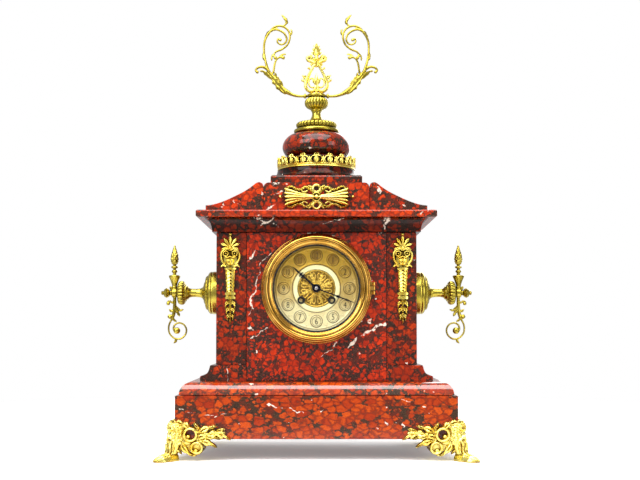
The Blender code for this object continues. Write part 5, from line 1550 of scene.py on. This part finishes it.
def build_rosette(y):
    canvas = Relief(-24.6, 24.6, -24.6, 24.6, 0.34)
    x, z = canvas.x, canvas.z
    radius, turn = np.hypot(x, z), np.arctan2(x, z)
    canvas.raise_to(1 - (radius / 24.2)**12, 0.16 + 0 * radius)
    for number in range(8):
        angle = TAU * (number + 0.5) / 8
        path = [(r * math.sin(angle + lean), r * math.cos(angle + lean), w) for r, lean, w in
                ((6.0, 0, 1.0), (11.0, 0.03, 1.9), (16.0, 0.02, 2.5), (19.4, 0, 2.0), (22.6, 0, 0.6))]
        canvas.leaf(path, 4, 1.1)
        for hand in (-1, 1):
            curl = [(r * math.sin(angle + hand * lean), r * math.cos(angle + hand * lean), w)
                    for r, lean, w in ((9.0, 0.10, 0.6), (13.0, 0.24, 0.8), (17.6, 0.30, 0.8),
                                       (20.2, 0.22, 0.7), (19.0, 0.14, 0.7))]
            canvas.stroke(curl, 0.9)
    canvas.bulge(1 - ((radius - 23.2) / 0.9)**2, 0.8)
    canvas.bulge(1 - ((radius - 6.1) / 1.1)**2, 2.0)
    fan = 0.45 + 0.35 * np.abs(np.cos(8 * turn))
    canvas.raise_to(1 - ((radius - 8.4) / 1.8)**2, fan)
    holes = 1 - (np.hypot(np.abs(x) - WINDING_X, z - WINDING_Z) / 5.0)**2
    centre = 1 - (radius / 5.0)**2
    canvas.pierce(2 * np.maximum(holes, centre))

    def place(u, v, h):
        return np.stack([u, y - h, DIAL_Z + v], -1)

    piece("dial_rosette_cast", canvas.shape(place, 0.25), ROSETTE_GOLD, "case", ["dial_rosette"])


def pointing(outline, degrees):
    turn = math.radians(degrees)
    cos, sin = math.cos(turn), math.sin(turn)
    return [(x * cos + z * sin, DIAL_Z + z * cos - x * sin) for x, z in outline]


def both(half):
    return [*half, *[(-x, z) for x, z in half[::-1] if abs(x) > 1e-6]]


def build_hands():
    spine = [(0, -6.0), (1.2, -5.4), (2.1, -2.2), (2.4, 0), (2.1, 2.2), (1.2, 5.0), (0.86, 8.0),
             (0.82, 27.0), (1.6, 29.0), (2.0, 30.4), (1.3, 31.8), (0.82, 33.4), (0.70, 46.0),
             (0.16, 53.6)]
    outline = pointing(both(spine), MINUTE_DEG)
    collet = [(0, -79.3), (1.3, -79.2), (2.1, -78.7), (2.5, -77.9), (2.5, -76.4), (1.2, -76.4),
              (1.2, -64.9), (2.3, -64.9), (2.3, -63.4), (0, -63.4)]
    piece("minute_hand_blued", drawn(outline, -77.4, -76.6, 0.16), BLUED, "minute",
          ["minute_hand"])
    piece("minute_collet", dial_lathe(collet, 48), STEEL, "minute", ())
    spine = [(0, 3.4), (2.6, 3.8), (1.5, 6.2), (1.1, 9.0), (1.0, 21.6), (1.3, 22.6), (3.2, 22.0),
             (3.7, 23.0), (1.6, 24.2), (1.1, 25.2), (1.3, 26.2), (3.4, 25.6), (3.9, 26.6),
             (1.6, 27.9), (1.0, 29.2), (1.1, 33.4), (0.8, 37.6), (0.14, 42.0)]
    hub = [(2.6, -75.6), (4.6, -75.6), (4.8, -75.4), (4.8, -75.0), (4.6, -74.8), (2.6, -74.8)]
    blade = drawn(pointing(both(spine), HOUR_DEG), -75.6, -74.8, 0.12)
    shape = join(dial_lathe(hub, 64), blade)
    piece("hour_hand_blued", shape, BLUED, "hour", ["hour_hand"])


# ---------------------------------------------------------------- movement and back


def gear(teeth, outer, depth, low, high, place, bore, crossings=0, hub=2.6):
    """A toothed wheel about Y, with slots between its spokes cut right through."""
    x0, z0 = place[0], DIAL_Z + place[1]
    steps = []
    for tooth in range(teeth):
        for share, reach in ((0.00, outer - depth), (0.30, outer - depth), (0.42, outer),
                             (0.72, outer), (0.84, outer - depth)):
            angle = TAU * (tooth + share) / teeth
            steps.append((reach * math.cos(angle), reach * math.sin(angle)))
    rim = np.array(steps)
    inner_r = outer - depth - 1.5
    turn = np.arctan2(rim[:, 1], rim[:, 0])
    shapes = []

    def ring_of(points, bound):
        rings = [np.stack([x0 + p[:, 0], np.full(len(p), y), z0 + p[:, 1]], 1)
                 for p, y in ((points, low), (points, high), (bound, high), (bound, low))]
        return skin(rings, loop=True)

    if crossings:
        circle = np.stack([inner_r * np.cos(turn), inner_r * np.sin(turn)], 1)
        shapes.append(ring_of(rim, circle))
        middle = np.linspace(0, TAU, 40, endpoint=False)
        outside = np.stack([hub * np.cos(middle), hub * np.sin(middle)], 1)
        inside = np.stack([bore * np.cos(middle), bore * np.sin(middle)], 1)
        shapes.append(ring_of(outside, inside))
        for arm in range(crossings):
            angle = TAU * arm / crossings + 0.3
            across = np.array([-math.sin(angle), math.cos(angle)])
            ahead = np.array([math.cos(angle), math.sin(angle)])
            corners = [ahead * hub * 0.9 + across * 1.1, ahead * (inner_r + 0.4) + across * 0.7,
                       ahead * (inner_r + 0.4) - across * 0.7, ahead * hub * 0.9 - across * 1.1]
            shapes.append(drawn([(x0 + p[0], z0 + p[1]) for p in corners], low + 0.05, high - 0.05))
    else:
        circle = np.stack([bore * np.cos(turn), bore * np.sin(turn)], 1)
        shapes.append(ring_of(rim, circle))
    return join(*shapes)


def shaft(place, steps):
    profile = [(0, steps[0][1]), *steps, (0, steps[-1][1])]
    return lathe(profile, "Y", (place[0], DIAL_Z + place[1]), 32)


def pinion(place, leaves, outer, low, high):
    return gear(leaves, outer, 0.32 * outer, low, high, place, 0.7)


def build_wheels():
    """Each wheel's place, arbor, teeth (gear's first five, its bore and its spokes) and pinion."""
    wheels = {
        "centre_wheel": ((0, 0), [(1.2, -62.6), (1.2, -20.8)],
                         (84, 14.5, 1.1, -58.3, -57.1, 1.1, 5), (12, 2.9, -55.0, -51.5)),
        "third_wheel": ((5.0, 15.2), [(0.8, -62.4), (0.8, -20.8)],
                        (92, 10.9, 0.8, -52.0, -50.8, 0.7, 4), (7, 1.1, -58.8, -55.0)),
        "escape_wheel": ((0, 26.0), [(0.7, -62.4), (0.7, -20.8)],
                         (30, 8.5, 1.6, -46.0, -44.8, 0.6, 4), None),
        "strike_wheel": ((-21.87, 9.54), [(0.8, -62.4), (0.8, -20.8)],
                         (60, 9.0, 0.9, -30.0, -28.8, 0.7, 4), (12, 2.9, -35.0, -31.5)),
        "minute_wheel": ((0, -10.0), [(1.0, -67.3), (1.0, -59.0)],
                         (36, 7.3, 0.8, -64.7, -63.5, 0.9, 0), (12, 1.85, -67.3, -64.7)),
    }
    for name, (place, steps, (*teeth, bore, crossings), leaves) in wheels.items():
        shapes = [shaft(place, steps), gear(*teeth, place, bore, crossings)]
        if leaves:
            shapes.append(pinion(place, *leaves))
        piece(f"{name}_toothed", join(*shapes), BRASS, name, [name])
    pipe = [(1.5, -66.0), (1.5, -76.0), (2.3, -76.0), (2.3, -66.0)]
    shape = join(dial_lathe(pipe, 48),
                 gear(36, 7.8, 0.8, -67.2, -66.0, (0, 0), 2.2, 5, 3.2))
    piece("hour_wheel_toothed", shape, BRASS, "hour", ["hour_wheel"])


def build_barrels():
    for name, side, (front, back), (low, high) in (
            ("going_barrel", 1, (-52.5, -36.0), (-54.0, -52.5)),
            ("strike_barrel", -1, (-50.0, -34.0), (-34.0, -32.5))):
        place = (side * WINDING_X, WINDING_Z)
        x, z = place[0], DIAL_Z + place[1]
        drum = [(1.9, front), (4.0, front), (4.4, front + 0.5), (14.5, front + 0.5),
                (15.0, front), (16.6, front), (17.0, front + 0.4), (17.0, back - 0.4),
                (16.6, back), (15.0, back), (14.5, back - 0.5), (4.4, back - 0.5), (4.0, back),
                (1.9, back)]
        shapes = [
            shaft(place, [(2.1, -69.0), (2.1, -20.3)]),
            lathe(drum, "Y", (x, z), 96),
            gear(84, 21.6, 1.4, low, high, place, 2.0, 0),
            drawn([(x - 1.5, z - 1.5), (x + 1.5, z - 1.5), (x + 1.5, z + 1.5), (x - 1.5, z + 1.5)],
                  -75.5, -66.0, 0.35),
        ]
        piece(f"{name}_toothed", join(*shapes), BRASS, name, [name])


def screw(x, z, y, radius):
    """A slotted screw head that faces +Y."""
    half = 0.16 * radius
    turn = np.linspace(math.asin(half / radius), math.pi - math.asin(half / radius), 12)
    shapes = []
    for up in (-1, 1):
        outline = [(x + radius * math.cos(t), z + up * radius * math.sin(t)) for t in turn]
        shapes.append(drawn(outline, y, y + 0.9, 0.15))
    profile = [(0, y), (radius, y), (radius, y + 0.45), (0, y + 0.45)]
    return join(*shapes, lathe(profile, "Y", (x, z), 32))


def build_plates():
    """The two plates, with the screws of the pillars and of the pendulum's cock on the back one."""
    heads = {(0, -38.0): 2.6, (35.0, 14.0): 2.6, (-27.0, 26.0): 2.6, (17.0, 33.0): 2.6,
             (26.0, -18.0): 1.6, (22.0, -30.0): 1.6}
    screws = [screw(x, DIAL_Z + z, -21.5, radius) for (x, z), radius in heads.items()]
    for node, extra in (("front_plate", []), ("back_plate", screws)):
        piece(f"{node}_polished", join(bevelled(node, 0.35), *extra), BRASS, "case", [node])


def build_pendulum_and_bell():
    y, top = -14.0, DIAL_Z + 38.5
    bob_z = DIAL_Z - 68.0
    bob = [(0, y - 5.0), (5.6, y - 4.8), (6.0, y - 5.2), (7.2, y - 5.2), (7.6, y - 4.6),
           (10.6, y - 3.6), (13.2, y - 1.6), (14.5, y - 0.5), (14.5, y + 0.5), (13.2, y + 1.6),
           (10.6, y + 3.4), (6.0, y + 4.8), (0, y + 5.0)]
    nut_z = DIAL_Z - 85.5
    nut = [(0, nut_z), (2.4, nut_z), (3.0, nut_z + 0.6), (3.0, nut_z + 3.4), (2.4, nut_z + 4.0),
           (0, nut_z + 4.0)]

    def knurl(turn, radius, along):
        return 0.12 * np.cos(28 * turn) * (radius > 2.8)

    shapes = [
        box((-1.0, y - 0.5, DIAL_Z - 70.0), (1.0, y + 0.5, top - 8.0)),
        box((-2.6, y - 1.0, top - 12.0), (2.6, y + 1.0, top - 6.0)),
        box((-1.6, y - 0.15, top - 7.0), (1.6, y + 0.15, top)),
        lathe(bob, "Y", (0, bob_z), 96),
        lathe([(0, DIAL_Z - 86.5), (0.9, DIAL_Z - 86.5), (0.9, DIAL_Z - 78.0), (0, DIAL_Z - 78.0)],
              "Z", (0, y), 16),
        lathe(nut, "Z", (0, y), 112, knurl),
    ]
    piece("pendulum_polished", join(*shapes), BRASS, "pendulum", ["pendulum"])
    z = DIAL_Z - 4.0
    dome = [(33.5, -6.0), (33.4, -3.0), (33.0, 0.6), (31.8, 4.4), (29.5, 8.4), (25.6, 12.0),
            (20.0, 14.9), (12.0, 16.8), (3.0, 17.5), (3.0, 16.0), (12.0, 15.2), (19.5, 13.3),
            (24.8, 10.6), (28.2, 7.0), (30.6, 3.2), (31.6, 0.2), (32.0, -3.0), (32.4, -6.0)]
    stand = [
        lathe([(0, 13.0), (4.4, 13.0), (4.4, 19.4), (3.4, 20.0), (3.4, 23.0), (2.6, 24.0), (0, 24.0)],
              "Y", (0, z), 40),
        tube([(0, 22.0, z, 2.2), (12.0, 22.4, z - 14.0, 2.0), (24.0, 22.0, DIAL_Z - 33.0, 2.2)], 12),
        lathe([(0, -21.2), (3.4, -21.2), (3.4, -19.6), (2.4, -18.8), (2.0, -16.0), (2.0, 20.0),
               (2.4, 23.4), (0, 23.4)], "Y", (24.0, DIAL_Z - 33.0), 32),
    ]
    shape = join(lathe(dome, "Y", (0, z), 128), *stand)
    piece("bell_turned", shape, BELL, "case", ["bell"])


def build_back():
    face = span("back_panel")[1][1] + GAP
    ring = [(66.0, face), (66.0, 71.6), (65.0, 72.5), (62.5, 72.7), (61.6, 72.2), (60.6, 72.7),
            (57.8, 72.7), (57.8, 50.0), (61.5, 50.0), (61.5, face)]
    zone = [(DIAL_Z - 8, DIAL_Z - 3), (DIAL_Z + 3, DIAL_Z + 8)]
    shapes = [dial_lathe(rounded(ring, 0.4, 2, closed=True), 144)]
    shapes += knuckles(-68.2, 73.9, zone, ((-68.2, face + 0.1), (-64.0, 72.5)))
    piece("back_ring_turned", join(*shapes), BURNISHED, "case", ["back_ring"])
    disc = [(0, 73.0), (61.6, 73.0), (62.8, 73.4), (63.0, 74.2), (62.2, 75.0), (60.0, 75.2),
            (58.8, 74.9), (57.6, 75.2), (44.0, 76.0), (42.6, 75.7), (41.2, 76.1), (20.0, 76.6),
            (0, 76.8)]
    shapes = [dial_lathe(disc, 144)]
    shapes += knuckles(-68.2, 73.9, [(DIAL_Z - 2.7, DIAL_Z + 2.7)], ((-68.2, 73.1), (-60.0, 74.9)))
    handle = [(0, 75.0), (2.6, 75.0), (3.2, 75.8), (1.6, 76.8), (1.5, 78.4), (3.2, 79.6),
              (3.6, 80.8), (2.6, 81.8), (0, 82.0)]
    shapes.append(lathe(handle, "Y", (52.0, DIAL_Z), 40))
    piece("back_door_turned", join(*shapes), BURNISHED, "back_door", ["back_door"])


def build_movement():
    build_wheels()
    build_barrels()
    build_plates()
    build_pendulum_and_bell()
    for node in ("tie_rod", "anchor", "hammer"):
        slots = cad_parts[node].data.materials
        slots.clear()
        slots.append(STEEL)


# ---------------------------------------------------------------- setting


def soft_light(name, place, target, size, power):
    lamp = bpy.data.lights.new(name, "AREA")
    lamp.shape = "RECTANGLE"
    lamp.size, lamp.size_y = size
    lamp.energy = power
    made = bpy.data.objects.new(name, lamp)
    made.location = place
    away = Vector(place) - Vector(target)
    made.rotation_euler = away.to_track_quat("Z", "Y").to_euler()
    bpy.context.scene.collection.objects.link(made)


def build_world():
    """A white backdrop with a dimmer room to reflect, so that polished faces keep their depth."""
    world = bpy.data.worlds.new("studio")
    bpy.context.scene.world = world
    world.use_nodes = True
    tree = world.node_tree
    seen = tree.nodes.new("ShaderNodeLightPath").outputs["Is Camera Ray"]
    level = tree.nodes.new("ShaderNodeMapRange")
    level.inputs["To Min"].default_value = 0.50
    level.inputs["To Max"].default_value = 1.0
    tree.links.new(seen, level.inputs["Value"])
    sky = tree.nodes["Background"]
    sky.inputs["Color"].default_value = rgb(1, 1, 1)
    tree.links.new(level.outputs["Result"], sky.inputs["Strength"])


def build_floor():
    """White to the camera. In reflections it is pale near the clock and dim further away."""
    bm = bmesh.new()
    bmesh.ops.create_circle(bm, cap_ends=True, segments=96, radius=1.15)
    mesh = bpy.data.meshes.new("floor")
    bm.to_mesh(mesh)
    bm.free()
    paint = Paint("pale_floor")
    grain = paint.noise(paint.object_place, 40).outputs["Fac"]
    seen = paint.node("LightPath").outputs["Is Camera Ray"]
    pale = paint.mix(grain, rgb(0.93, 0.93, 0.93), rgb(0.96, 0.96, 0.96))
    away = paint.node("VectorMath", {0: paint.object_place}, operation="LENGTH").outputs["Value"]
    dim = paint.mix(paint.smooth(away, 0.34, 0.62), rgb(0.95, 0.93, 0.90), rgb(0.30, 0.29, 0.28))
    paint.feed("Base Color", paint.mix(seen, dim, pale))
    paint.feed("Roughness", paint.smooth(grain, 0.2, 0.8, 0.6, 0.7))
    paint.feed("Emission Color", rgb(1, 1, 1))
    paint.feed("Emission Strength", paint.maths("MULTIPLY", seen, 0.22))
    mesh.materials.append(paint.material)
    floor = bpy.data.objects.new("floor", mesh)
    bpy.context.scene.collection.objects.link(floor)


def build_lights():
    middle = (0, 0, 0.28)
    soft_light("key", (-1.1, -1.3, 1.25), middle, (1.2, 1.2), 26)
    soft_light("fill", (1.5, -1.2, 0.55), middle, (0.7, 1.2), 9)
    soft_light("top", (0, -0.55, 1.75), (0, 0, 0.25), (1.7, 1.5), 45)
    soft_light("back", (0.7, 1.7, 1.0), middle, (1.3, 1.1), 16)


def build_camera():
    """Low in front, tilted a little up, as one stands before a clock on a mantel."""
    camera = bpy.data.cameras.new("camera")
    camera.lens = 59.8
    camera.sensor_width = 36.0
    camera.shift_x, camera.shift_y = 0.0055, 0.0655
    made = bpy.data.objects.new("camera", camera)
    made.location = (0, -1.443, 0.165)
    made.rotation_euler = (math.radians(92.5), 0, 0)
    bpy.context.scene.collection.objects.link(made)
    bpy.context.scene.camera = made


build_marble()
build_gallery()
build_vase()
build_arms()
build_finial()
build_pediment_mount()
build_pilaster_mounts()
build_sconces()
build_feet()
build_case_ring()
build_bezel()
build_dial()
build_hands()
build_back()
build_movement()
build_floor()
build_world()
build_lights()
build_camera()
bpy.context.scene.view_settings.view_transform = "Standard"

bpy.context.view_layer.update()
